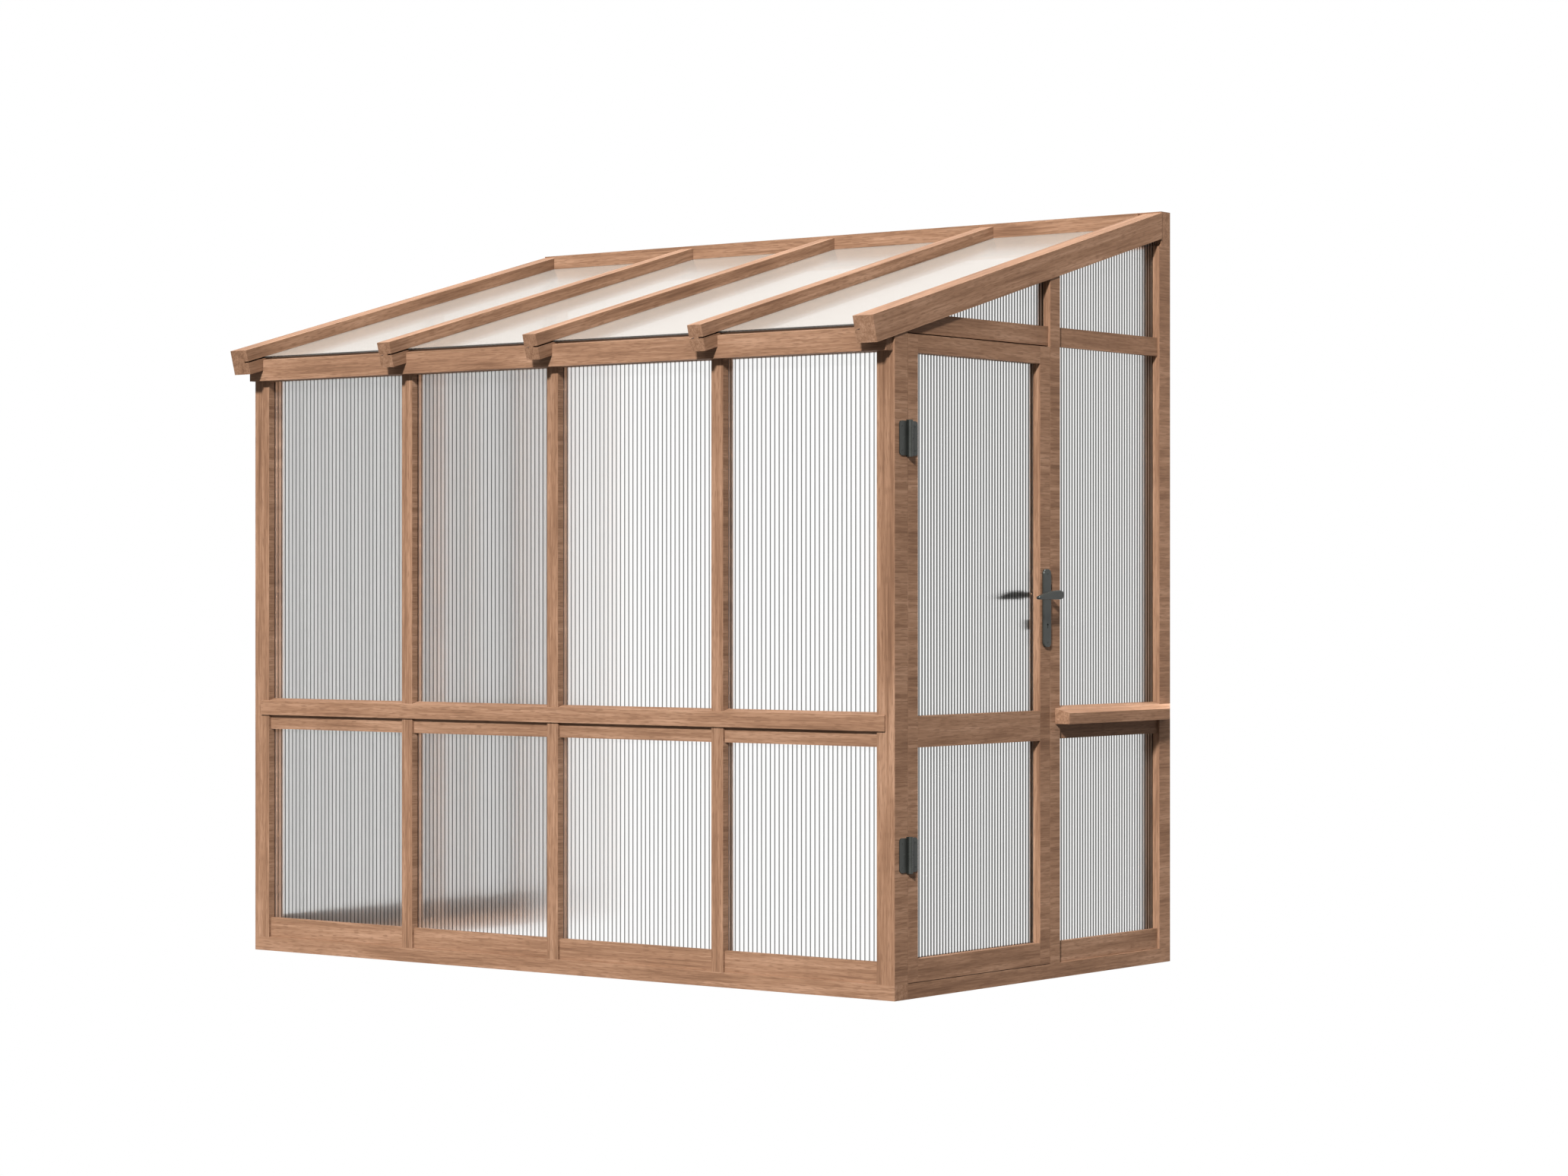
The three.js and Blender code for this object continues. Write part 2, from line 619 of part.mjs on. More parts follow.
// Left and right face of each rafter, from left to right
function rafterFaces() {
  const middle = [...STUD_PLACES.keys()].map((index) => [
    studX(index) - RAFTER_WIDTH / 2,
    studX(index) + RAFTER_WIDTH / 2,
  ]);
  return [
    [-HALF - END_RAFTER_PROUD, -HALF - END_RAFTER_PROUD + END_RAFTER_WIDTH],
    ...middle,
    [HALF + END_RAFTER_PROUD - END_RAFTER_WIDTH, HALF + END_RAFTER_PROUD],
  ];
}

function rafters() {
  const faces = rafterFaces();
  const last = faces.length - 1;
  faces.forEach((pair, index) => {
    const side = index === 0 ? LEFT : index === last ? RIGHT : 0;
    rafter(`rafter_${index + 1}`, pair, { grooveLeft: index > 0, grooveRight: index < last, side });
  });
}

// Ridge board on the house wall, with a thicker lip between the end rafters that takes the sheets
function ridgeBoard() {
  const groove = roofBand(RIDGE_FRONT - POST, RIDGE_FRONT + EDGE_GROOVE,
    ROOF_SHEET_SINK - FIT, ROOF_SHEET_SINK + SHEET + FIT);
  const low = ridgeTop() - RIDGE_HEIGHT;
  const reach = HALF + END_RAFTER_PROUD - END_RAFTER_WIDTH - FIT;
  const board = block([-HALF, HALF], [RIDGE_FACE, HOUSE], [low, ridgeTop()]);
  const lip = block([-reach, reach], [RIDGE_FRONT, HOUSE], [low, ridgeTop() - RIDGE_LIP_DROP]);
  addMesh('ridge_board', board.add(lip).subtract(profileAlongX(groove, [-HALF, HALF])), timber());
}

function roofSheets() {
  const faces = rafterFaces();
  const band = roofBand(BEAM_FRONT + ROOF_SHEET_BACK, RIDGE_FRONT + EDGE_BITE,
    ROOF_SHEET_SINK, ROOF_SHEET_SINK + SHEET);
  for (let bay = 0; bay < faces.length - 1; bay += 1) {
    const across = [faces[bay][1] - ROOF_BITE, faces[bay + 1][0] + ROOF_BITE];
    addMesh(`roof_sheet_${bay + 1}`, profileAlongX(band, across), glazing());
  }
}

// Door

const HINGE_STILE_EDGE = DOOR_FRONT + HINGE_STILE;
const LOCK_STILE_EDGE = DOOR_BACK - LOCK_STILE;
const DOOR_WAIST_TOP = DOOR_WAIST_LOW + DOOR_WAIST_RAIL;
const DOOR_RAILS = [
  { name: 'door_foot_rail', low: DOOR_LOW, top: DOOR_LOW + DOOR_FOOT_RAIL, grooves: ['top'] },
  { name: 'door_waist_rail', low: DOOR_WAIST_LOW, top: DOOR_WAIST_TOP, grooves: ['low', 'top'] },
  { name: 'door_top_rail', low: DOOR_TOP - DOOR_TOP_RAIL, top: DOOR_TOP, grooves: ['low'] },
];

// Tenons of one rail through both ends, or their mortises when a gap is given
function tenonBar(rail, gap) {
  const shoulder = (rail.top - rail.low) * TENON_SHOULDER;
  return block(sidePair(RIGHT, TENON_INSET, TENON_INSET + TENON_THICKNESS, gap),
    [HINGE_STILE_EDGE - TENON - gap, LOCK_STILE_EDGE + TENON + gap],
    [rail.low + shoulder - gap, rail.top - shoulder + gap]);
}

function doorSheetSpace(yPair, zPair) {
  return block(sidePair(RIGHT, SHEET_INSET, SHEET_INSET + SHEET, FIT), yPair, zPair);
}

function doorStile(name, [yFrom, yTo], grooveRange) {
  let stile = block(sidePair(RIGHT, 0, DOOR_THICKNESS), [yFrom, yTo], [DOOR_LOW, DOOR_TOP]);
  stile = stile.subtract(doorSheetSpace(grooveRange, [DOOR_RAILS[0].low, DOOR_RAILS[2].top - EDGE_GROOVE]));
  for (const rail of DOOR_RAILS) {
    stile = stile.subtract(tenonBar(rail, FIT));
  }
  if (name === 'door_lock_stile') {
    stile = stile.subtract(lockMortise());
  }
  addMesh(name, stile, timber());
}

function doorRail(rail) {
  let body = block(sidePair(RIGHT, 0, DOOR_THICKNESS), [HINGE_STILE_EDGE + FIT, LOCK_STILE_EDGE - FIT],
    [rail.low, rail.top]);
  body = body.add(tenonBar(rail, 0));
  const across = [HINGE_STILE_EDGE - TENON - POST, LOCK_STILE_EDGE + TENON + POST];
  if (rail.grooves.includes('top')) {
    body = body.subtract(doorSheetSpace(across, [rail.top - EDGE_GROOVE, FAR]));
  }
  if (rail.grooves.includes('low')) {
    body = body.subtract(doorSheetSpace(across, [0, rail.low + EDGE_GROOVE]));
  }
  addMesh(rail.name, body, timber());
}

function doorSheets() {
  const across = [HINGE_STILE_EDGE - BITE, LOCK_STILE_EDGE + BITE];
  const faces = sidePair(RIGHT, SHEET_INSET, SHEET_INSET + SHEET);
  const [foot, waist, top] = DOOR_RAILS;
  addMesh('door_lower_sheet', block(faces, across, [foot.top - EDGE_BITE, waist.low + EDGE_BITE]), glazing());
  addMesh('door_upper_sheet', block(faces, across, [waist.top - EDGE_BITE, top.low + EDGE_BITE]), glazing());
}

function door() {
  doorStile('door_hinge_stile', [DOOR_FRONT, HINGE_STILE_EDGE],
    [HINGE_STILE_EDGE - GROOVE, HINGE_STILE_EDGE + POST]);
  doorStile('door_lock_stile', [LOCK_STILE_EDGE, DOOR_BACK],
    [LOCK_STILE_EDGE - POST, LOCK_STILE_EDGE + GROOVE]);
  DOOR_RAILS.forEach(doorRail);
  doorSheets();
}

// Hinges

const HINGE_X = HALF + HINGE_AXIS_OUT;
const HINGE_Y = (POST_BACK + DOOR_FRONT) / 2;

// Leaf outline from the knuckles out, with the two free corners rounded
function leafShape(toward, low) {
  const root = toward * KNUCKLE_RADIUS / 2;
  const free = toward * (KNUCKLE_RADIUS + HINGE_LEAF);
  const top = low + HINGE_HEIGHT - 2 * LEAF_SHORT;
  const shape = new THREE.Shape();
  shape.moveTo(HINGE_Y + root, low);
  shape.lineTo(HINGE_Y + free - toward * HINGE_CORNER, low);
  shape.quadraticCurveTo(HINGE_Y + free, low, HINGE_Y + free, low + HINGE_CORNER);
  shape.lineTo(HINGE_Y + free, top - HINGE_CORNER);
  shape.quadraticCurveTo(HINGE_Y + free, top, HINGE_Y + free - toward * HINGE_CORNER, top);
  shape.lineTo(HINGE_Y + root, top);
  return shape;
}

// One leaf with its share of the knuckles; the frame's leaf carries the pin
function hingeLeaf(low, toward, firstKnuckle) {
  const step = HINGE_HEIGHT / KNUCKLES;
  const plate = [HALF, HALF + HINGE_PLATE];
  let leaf = alongX(leafShape(toward, low + LEAF_SHORT), plate, { curveSegments: CURVE_STEPS });
  for (let index = 0; index < KNUCKLES; index += 1) {
    const range = [low + index * step, low + (index + 1) * step];
    if (index % 2 === firstKnuckle) {
      const web = block(plate, [HINGE_Y, HINGE_Y + toward * KNUCKLE_RADIUS], range);
      leaf = leaf.add(web).add(roundUpright(KNUCKLE_RADIUS, HINGE_X, HINGE_Y, range));
    } else {
      const room = [range[0] - FIT, range[1] + FIT];
      leaf = leaf.subtract(roundUpright(KNUCKLE_RADIUS + MOVING_FIT, HINGE_X, HINGE_Y, room));
    }
  }
  return leaf;
}

function hinge(prefix, low) {
  const pin = roundUpright(HINGE_PIN_RADIUS, HINGE_X, HINGE_Y, [low, low + HINGE_HEIGHT]);
  const pinBore = roundUpright(HINGE_PIN_RADIUS + MOVING_FIT, HINGE_X, HINGE_Y, [0, FAR]);
  addMesh(`${prefix}_frame_leaf`, hingeLeaf(low, -1, 0).add(pin), darkMetal());
  addMesh(`${prefix}_door_leaf`, hingeLeaf(low, 1, 1).subtract(pinBore), darkMetal());
}

// Lock

function caseRange() {
  return [LOCK_HEIGHT - CASE_BELOW, LOCK_HEIGHT + CASE_ABOVE];
}

function lockBody(gap) {
  const [low, top] = caseRange();
  const half = CASE_WIDTH / 2;
  const body = block(sidePair(RIGHT, LOCK_INSET - half, LOCK_INSET + half, gap),
    [DOOR_BACK - FOREND - CASE_DEPTH - gap, DOOR_BACK - FOREND + gap], [low - gap, top + gap]);
  const halfFace = FOREND_WIDTH / 2;
  const forend = block(sidePair(RIGHT, LOCK_INSET - halfFace, LOCK_INSET + halfFace, gap),
    [DOOR_BACK - FOREND - gap, DOOR_BACK + (gap ? POST : 0)],
    [low - FOREND_LAP - gap, top + FOREND_LAP + gap]);
  return body.add(forend);
}

function spindleBore(radius) {
  return roundAlongX(radius, [0, FAR], SPINDLE_Y, LOCK_HEIGHT);
}

function keyBore(radius) {
  return roundAlongX(radius, [0, FAR], SPINDLE_Y, KEY_HEIGHT);
}

function lockMortise() {
  return lockBody(FIT).add(spindleBore(NECK_RADIUS)).add(keyBore(KEY_BORE_RADIUS));
}

// Straight bolt running along Y in the middle of the lock
function boltBar(thickness, height, centre, [yFrom, yTo], gap = 0) {
  const half = thickness / 2;
  return block(sidePair(RIGHT, LOCK_INSET - half, LOCK_INSET + half, gap), [yFrom, yTo],
    [centre - height / 2 - gap, centre + height / 2 + gap]);
}

function lockCase() {
  const way = [DOOR_BACK - FOREND - CASE_DEPTH + CASE_WALL, FAR];
  const diagonal = SPINDLE / Math.SQRT2 + MOVING_FIT;
  let body = lockBody(0);
  body = body.subtract(boltBar(LATCH_THICKNESS, LATCH_HEIGHT, LATCH_HEIGHT_UP, way, MOVING_FIT));
  body = body.subtract(boltBar(DEADBOLT_THICKNESS, DEADBOLT_HEIGHT, DEADBOLT_CENTRE, way, MOVING_FIT));
  body = body.subtract(spindleBore(diagonal));
  body = body.subtract(keyBore(TURN_SHAFT_RADIUS + MOVING_FIT));
  addMesh('lock_case', body, steel());
}

// Latch bolt with its bevelled nose
function latchBolt() {
  const tip = DOOR_BACK + LATCH_THROW;
  const half = LATCH_THICKNESS / 2;
  const outer = sideX(RIGHT, LOCK_INSET - half);
  const inner = sideX(RIGHT, LOCK_INSET + half);
  const shape = outlineOf([
    [inner, DOOR_BACK - LATCH_TAIL],
    [outer, DOOR_BACK - LATCH_TAIL],
    [outer, tip],
    [outer - LATCH_THICKNESS / 4, tip],
    [inner, DOOR_BACK + LATCH_LAND],
  ]);
  const range = [LATCH_HEIGHT_UP - LATCH_HEIGHT / 2, LATCH_HEIGHT_UP + LATCH_HEIGHT / 2];
  addMesh('latch_bolt', upright(shape, range), steel());
}

function deadBolt() {
  const face = DOOR_BACK - FIT;
  addMesh('dead_bolt',
    boltBar(DEADBOLT_THICKNESS, DEADBOLT_HEIGHT, DEADBOLT_CENTRE, [face - DEADBOLT_LENGTH, face]), steel());
}

// Room in the post for both bolts and the keep; the latch's is open outwards, so the door can swing
function keepPockets() {
  const latchInner = LOCK_INSET + LATCH_THICKNESS / 2 + POCKET_ROOM;
  const latchHalf = LATCH_HEIGHT / 2 + POCKET_ROOM;
  const latchEnd = DOOR_BACK + LATCH_THROW + POCKET_ROOM;
  const latchRoom = block([sideX(RIGHT, latchInner), FAR], [MID_POST_FRONT - POST, latchEnd],
    [LATCH_HEIGHT_UP - latchHalf, LATCH_HEIGHT_UP + latchHalf]);
  const boltRoom = boltBar(DEADBOLT_THICKNESS, DEADBOLT_HEIGHT, DEADBOLT_CENTRE,
    [MID_POST_FRONT - POST, DOOR_BACK + DEADBOLT_THROW + POCKET_ROOM], POCKET_ROOM);
  return latchRoom.add(boltRoom).add(keepBlank(FIT));
}

function keepBlank(gap) {
  const half = KEEP_WIDTH / 2;
  const low = DEADBOLT_CENTRE - DEADBOLT_HEIGHT / 2 - KEEP_LAP;
  const top = LATCH_HEIGHT_UP + LATCH_HEIGHT / 2 + KEEP_LAP;
  return block(sidePair(RIGHT, LOCK_INSET - half, LOCK_INSET + half, gap),
    [MID_POST_FRONT - (gap ? POST : 0), MID_POST_FRONT + KEEP_THICKNESS + gap],
    [low - gap, top + gap]);
}

function keepPlate() {
  const latchInner = LOCK_INSET + LATCH_THICKNESS / 2 + POCKET_ROOM;
  const latchHalf = LATCH_HEIGHT / 2 + POCKET_ROOM;
  const latchRoom = block([sideX(RIGHT, latchInner), FAR], [0, FAR],
    [LATCH_HEIGHT_UP - latchHalf, LATCH_HEIGHT_UP + latchHalf]);
  const boltRoom = boltBar(DEADBOLT_THICKNESS, DEADBOLT_HEIGHT, DEADBOLT_CENTRE, [0, FAR], POCKET_ROOM);
  addMesh('keep_plate', keepBlank(0).subtract(latchRoom).subtract(boltRoom), steel());
}

// Handle plates and levers

// Long plate with rounded corners, in Y and Z
function plateShape(inset) {
  const radius = PLATE_CORNER - inset;
  const across = PLATE_WIDTH / 2 - PLATE_CORNER;
  const low = LOCK_HEIGHT - PLATE_BELOW + PLATE_CORNER;
  const top = LOCK_HEIGHT + PLATE_ABOVE - PLATE_CORNER;
  const quarter = Math.PI / 2;
  const shape = new THREE.Shape();
  shape.absarc(SPINDLE_Y + across, top, radius, 0, quarter);
  shape.absarc(SPINDLE_Y - across, top, radius, quarter, 2 * quarter);
  shape.absarc(SPINDLE_Y - across, low, radius, 2 * quarter, 3 * quarter);
  shape.absarc(SPINDLE_Y + across, low, radius, 3 * quarter, 4 * quarter);
  return shape;
}

function facePlate([xa, xb]) {
  return alongX(plateShape(PLATE_BEVEL), [xa + PLATE_BEVEL, xb - PLATE_BEVEL], {
    bevelEnabled: true, bevelThickness: PLATE_BEVEL, bevelSize: PLATE_BEVEL, bevelSegments: 2,
    curveSegments: CURVE_STEPS,
  });
}

function keyhole() {
  const slot = block([0, FAR], [SPINDLE_Y - KEYHOLE_SLOT / 2, SPINDLE_Y + KEYHOLE_SLOT / 2],
    [KEY_HEIGHT - KEYHOLE_DROP, KEY_HEIGHT]);
  return keyBore(KEYHOLE_RADIUS).add(slot);
}

function handlePlates() {
  const outerFace = HALF + FIT;
  const innerFace = HALF - DOOR_THICKNESS - FIT;
  const spindleHole = spindleBore(SPINDLE / Math.SQRT2 + MOVING_FIT);
  const outer = facePlate([outerFace, outerFace + PLATE_THICKNESS]);
  const inner = facePlate([innerFace - PLATE_THICKNESS, innerFace]);
  addMesh('outer_handle_plate', outer.subtract(spindleHole).subtract(keyhole()), darkMetal());
  addMesh('inner_handle_plate',
    inner.subtract(spindleHole).subtract(keyBore(TURN_SHAFT_RADIUS + MOVING_FIT)), darkMetal());
}

// Outline of a lever's arm in Y and Z: round root, straight underside, drooping tip
function armShape() {
  const tipY = SPINDLE_Y - LEVER_ARM + LEVER_TIP_RADIUS;
  const tipZ = LOCK_HEIGHT - LEVER_DROOP;
  const middleY = SPINDLE_Y - LEVER_ARM / 2;
  const shape = new THREE.Shape();
  shape.absarc(SPINDLE_Y, LOCK_HEIGHT, LEVER_ROOT_RADIUS, -Math.PI / 2, Math.PI / 2);
  shape.quadraticCurveTo(middleY, LOCK_HEIGHT + LEVER_ROOT_RADIUS, tipY, tipZ + LEVER_TIP_RADIUS);
  shape.absarc(tipY, tipZ, LEVER_TIP_RADIUS, Math.PI / 2, 3 * Math.PI / 2);
  return shape;
}

// Neck and arm on one side of the door, from the plate's face outwards
function leverHalf(face, outward) {
  const neckEnd = face + outward * NECK_LENGTH;
  const neckRange = [face, neckEnd + outward * LEVER_THICKNESS / 2];
  const neck = roundAlongX(NECK_RADIUS, neckRange, SPINDLE_Y, LOCK_HEIGHT);
  const bevel = LEVER_THICKNESS / 4;
  const armEnd = neckEnd + outward * LEVER_THICKNESS;
  const faces = [Math.min(neckEnd, armEnd) + bevel, Math.max(neckEnd, armEnd) - bevel];
  const arm = alongX(armShape(), faces, {
    bevelEnabled: true, bevelThickness: bevel, bevelSize: bevel, bevelOffset: -bevel,
    bevelSegments: 2, curveSegments: CURVE_STEPS,
  });
  return neck.add(arm);
}

function levers() {
  const outerFace = HALF + PLATE_THICKNESS + 2 * FIT;
  const innerFace = HALF - DOOR_THICKNESS - PLATE_THICKNESS - 2 * FIT;
  const socketEnd = innerFace - NECK_LENGTH / 2;
  const half = SPINDLE / 2;
  const spindle = block([socketEnd, outerFace + NECK_LENGTH / 2],
    [SPINDLE_Y - half, SPINDLE_Y + half], [LOCK_HEIGHT - half, LOCK_HEIGHT + half]);
  const socket = block([socketEnd - FIT, FAR],
    [SPINDLE_Y - half - FIT, SPINDLE_Y + half + FIT], [LOCK_HEIGHT - half - FIT, LOCK_HEIGHT + half + FIT]);
  addMesh('outer_lever', leverHalf(outerFace, 1).add(spindle), darkMetal());
  addMesh('inner_lever', leverHalf(innerFace, -1).subtract(socket), darkMetal());
}

// Flat thumb turn on its shaft, inside the door
function thumbTurn() {
  const face = HALF - DOOR_THICKNESS - PLATE_THICKNESS - 2 * FIT;
  const shaft = roundAlongX(TURN_SHAFT_RADIUS, [face - TURN_REACH / 2, sideX(RIGHT, LOCK_INSET)],
    SPINDLE_Y, KEY_HEIGHT);
  const shape = new THREE.Shape();
  const radius = TURN_THICKNESS / 2;
  const reach = TURN_WIDTH / 2 - radius;
  shape.absarc(SPINDLE_Y, KEY_HEIGHT + reach, radius, 0, Math.PI);
  shape.absarc(SPINDLE_Y, KEY_HEIGHT - reach, radius, Math.PI, 2 * Math.PI);
  const grip = alongX(shape, [face - TURN_REACH, face], { curveSegments: CURVE_STEPS });
  addMesh('thumb_turn', shaft.add(grip), darkMetal());
}

// The whole greenhouse

frontSole();
sideSole(RIGHT, 'right_sole_plate', MID_POST_BACK - GROOVE);
sideSole(LEFT, 'left_sole_plate', POST_BACK - GROOVE);
cornerPost(LEFT, 'left_corner_post');
cornerPost(RIGHT, 'right_corner_post');
[...STUD_PLACES.keys()].forEach(frontStud);
frontRails();
frontSill();
eavesBeam();
frontSheets();

midPost(RIGHT, 'strike_post');
midPost(LEFT, 'left_mid_post');
rearPost(RIGHT, 'right_rear_post');
rearPost(LEFT, 'left_rear_post');
sideRails(RIGHT, 'right', MID_POST_BACK);
sideRails(LEFT, 'left', POST_BACK);
rightSill();
rightLintel();
sideSheet(RIGHT, 'right_sheet', MID_POST_BACK - BITE, REAR_POST_FRONT + BITE);
sideSheet(LEFT, 'left_sheet_front', POST_BACK - BITE, MID_POST_FRONT + BITE);
sideSheet(LEFT, 'left_sheet_rear', MID_POST_BACK - BITE, REAR_POST_FRONT + BITE);
gableSheet();

rafters();
ridgeBoard();
roofSheets();

door();
hinge('lower_hinge', DOOR_LOW + HINGE_UP);
hinge('upper_hinge', DOOR_TOP - HINGE_DOWN - HINGE_HEIGHT);
lockCase();
latchBolt();
deadBolt();
keepPlate();
handlePlates();
levers();
thumbTurn();

export default greenhouse;
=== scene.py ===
"""Looks, small fixings and studio for a timber lean-to greenhouse."""

import math

import bmesh
import bpy
from mathutils import Matrix, Vector


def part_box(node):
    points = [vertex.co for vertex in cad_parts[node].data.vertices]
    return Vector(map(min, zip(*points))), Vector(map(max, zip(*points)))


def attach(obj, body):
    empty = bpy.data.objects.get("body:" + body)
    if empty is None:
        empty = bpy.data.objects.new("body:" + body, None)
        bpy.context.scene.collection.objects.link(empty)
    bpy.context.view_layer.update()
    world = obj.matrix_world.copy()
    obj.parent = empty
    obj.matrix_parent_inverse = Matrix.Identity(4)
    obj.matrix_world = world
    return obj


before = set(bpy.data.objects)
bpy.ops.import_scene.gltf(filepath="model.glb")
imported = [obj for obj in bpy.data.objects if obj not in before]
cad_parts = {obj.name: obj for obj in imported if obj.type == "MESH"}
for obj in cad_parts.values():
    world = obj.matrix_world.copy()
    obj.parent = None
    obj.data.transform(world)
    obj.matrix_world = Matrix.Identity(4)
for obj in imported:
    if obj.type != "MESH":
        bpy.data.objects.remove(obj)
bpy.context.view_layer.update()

bl_info = {
    "name": "Lean-to greenhouse",
    "version": (1, 0, 0),
    "blender": (4, 5, 0),
    "location": "View3D > Sidebar > Greenhouse",
    "description": "Finishes the timber, sheets and metal of a greenhouse, adds its screws and a studio",
    "category": "Object",
}

ROOF_PITCH = math.radians(15)
COSINE, SINE = math.cos(ROOF_PITCH), math.sin(ROOF_PITCH)
SHEET_THICKNESS = 0.004
LEAF_THICKNESS = 0.003
IMAGE_WIDTH = 2063               # pixels across the picture that the camera's values fit
SHARP_LAMP = math.radians(10)    # a sharper lamp would speckle what the sheets show
LEVEL = 1e-7                     # metres; faces as near as this to one height are level
WHITE, BLACK = (1, 1, 1), (0, 0, 0)

# Timbers by the way that their grain runs
TIMBERS = {
    "up": (
        "left_corner_post", "right_corner_post", "front_stud_1", "front_stud_2", "front_stud_3",
        "strike_post", "left_mid_post", "right_rear_post", "left_rear_post", "door_hinge_stile",
        "door_lock_stile",
    ),
    "sideways": (
        "front_sole_plate", "front_foot_rail", "front_waist_rail", "front_sill", "eaves_beam",
        "ridge_board",
    ),
    "back": (
        "right_sole_plate", "left_sole_plate", "right_foot_rail", "right_waist_rail",
        "left_foot_rail", "left_waist_rail", "right_sill", "right_lintel", "door_top_rail",
        "door_waist_rail", "door_foot_rail",
    ),
    "slope": ("rafter_1", "rafter_2", "rafter_3", "rafter_4", "rafter_5"),
}
# Glazing sheets by the side that they close
SHEETS = {
    "front": ("front_sheet_1", "front_sheet_2", "front_sheet_3", "front_sheet_4"),
    "end": (
        "right_sheet", "door_gable_sheet", "door_upper_sheet", "door_lower_sheet",
        "left_sheet_front", "left_sheet_rear",
    ),
    "roof": ("roof_sheet_1", "roof_sheet_2", "roof_sheet_3", "roof_sheet_4"),
}
COATED_METAL = (
    "lower_hinge_frame_leaf", "lower_hinge_door_leaf", "upper_hinge_frame_leaf",
    "upper_hinge_door_leaf", "outer_handle_plate", "inner_handle_plate", "outer_lever",
    "inner_lever", "thumb_turn",
)
PLATED_STEEL = ("lock_case", "latch_bolt", "dead_bolt", "keep_plate")

# How much each layer of grain counts in a timber's tone
STREAK_SHARE, FIBRE_SHARE, PATCH_SHARE = 0.4, 0.4, 0.2
# How much of the raised grain each layer makes
STREAK_RELIEF, FIBRE_RELIEF = 0.4, 0.6
# Tones at which the grain is darkest, middling and lightest
DARK_TONE, MIDDLE_TONE, LIGHT_TONE = 0.34, 0.5, 0.66
# Noise values between which a fleck fades in
FLECK_START, FLECK_FULL = 0.54, 0.68
GRAIN_SHIFT = 7.31               # moves the grain on from one timber to the next
SIDE_FACE = 0.7                  # a face that looks along X by more than this is a side

# Parts of a screw head, as shares of its radius
CROWN, BAND, SLOT_HALF_WIDTH, SLOT_REACH = 0.85, 0.2, 0.12, 0.6
HEAD_SIDES = 24


def colour(name, description, default):
    return bpy.props.FloatVectorProperty(
        name=name, description=description, subtype="COLOR", size=3, default=default)


def place(name, description, default):
    return bpy.props.FloatVectorProperty(
        name=name, description=description, subtype="TRANSLATION", size=3, default=default)


def direction(name, description, default):
    return bpy.props.FloatVectorProperty(
        name=name, description=description, subtype="XYZ", size=3, default=default)


def length(name, description, default):
    return bpy.props.FloatProperty(
        name=name, description=description, unit="LENGTH", default=default)


def angle(name, description, degrees):
    return bpy.props.FloatProperty(
        name=name, description=description, subtype="ANGLE", default=math.radians(degrees))


def share(name, description, default):
    return bpy.props.FloatProperty(
        name=name, description=description, min=0, max=1, default=default)


def amount(name, description, default):
    return bpy.props.FloatProperty(name=name, description=description, default=default)


class TimberLook(bpy.types.PropertyGroup):
    dark: colour("Dark grain", "Colour of the darkest grain", (0.118, 0.060, 0.034))
    middle: colour("Middle grain", "Colour between the streaks", (0.210, 0.115, 0.068))
    light: colour("Light grain", "Colour of the lightest grain", (0.300, 0.178, 0.114))
    roughness: share("Roughness", "Roughness of the planed faces", 0.62)
    shine: share("Shine", "Strength of the reflections in the stain", 0.12)
    fibre_width: length("Fibre width", "Width of a fine fibre streak", 0.005)
    fibre_length: length("Fibre length", "Length of a fine fibre streak", 0.16)
    streak_width: length("Streak width", "Width of a growth streak", 0.022)
    streak_length: length("Streak length", "Length of a growth streak", 0.55)
    patch_width: length("Patch width", "Width of a broad soft patch", 0.14)
    patch_length: length("Patch length", "Length of a broad soft patch", 0.30)
    fleck_width: length("Fleck width", "Width of a dark fleck", 0.0022)
    fleck_length: length("Fleck length", "Length of a dark fleck", 0.03)
    fleck_depth: share("Fleck depth", "How far a fleck goes to the dark grain's colour", 0.5)
    relief: length("Relief", "Height of the raised grain", 0.0006)


class SheetLook(bpy.types.PropertyGroup):
    clear: colour("Clear", "Tint of the wall sheets between their ribs", (0.985, 0.98, 0.97))
    # The rib tints are painted shade: the dark lines that the sheets' inner webs show, made bolder and
    # darker in the end sheets than in the front ones for how the light falls on each wall.
    front_rib_shade: colour("Front rib", "Tint of a rib in a front sheet", (0.030, 0.0295, 0.0285))
    rib_edge_shade: colour(
        "End rib edge", "Tint of both edges of a rib in an end sheet", (0.0030, 0.0030, 0.0028))
    rib_middle_shade: colour(
        "End rib middle", "Tint of the middle of a rib in an end sheet", (0.024, 0.0235, 0.0225))
    # Painted shade of a rib on the inner face, as a share of the clear tint.
    web_shade: share("Web", "Share of the clear tint that is left where a rib meets the inner face", 0.72)
    roof: colour("Roof haze", "Colour of the haze in the roof sheets", (0.305, 0.273, 0.240))
    roof_rib: share("Roof rib", "Brightness of a roof sheet's rib against its haze", 0.8)
    roof_haze: share("Roof haze share", "Share of light that a roof face stops", 0.70)
    # A roof sheet's cut end uses the end rib tints as painted shade in its hollow cells.
    mouth: share("Mouth", "Share of the rib spacing that is lighter in a roof sheet's end", 0.5)
    opening: share(
        "Opening", "Share of light that a wall face lets straight through between its ribs", 0.3)
    front_pitch: length("Front rib spacing", "From rib to rib in the front and the roof", 0.0155)
    end_pitch: length("End rib spacing", "From rib to rib in the end walls and the door", 0.0141)
    wall_roughness: share("Wall roughness", "Roughness of the wall sheets' faces", 0.34)
    roof_roughness: share("Roof roughness", "Roughness of the roof sheets' faces", 0.15)
    spread: share("Roughness spread", "How much a face's roughness varies", 0.06)
    clouds: amount("Clouds", "Clouds of other roughness in a metre", 3)


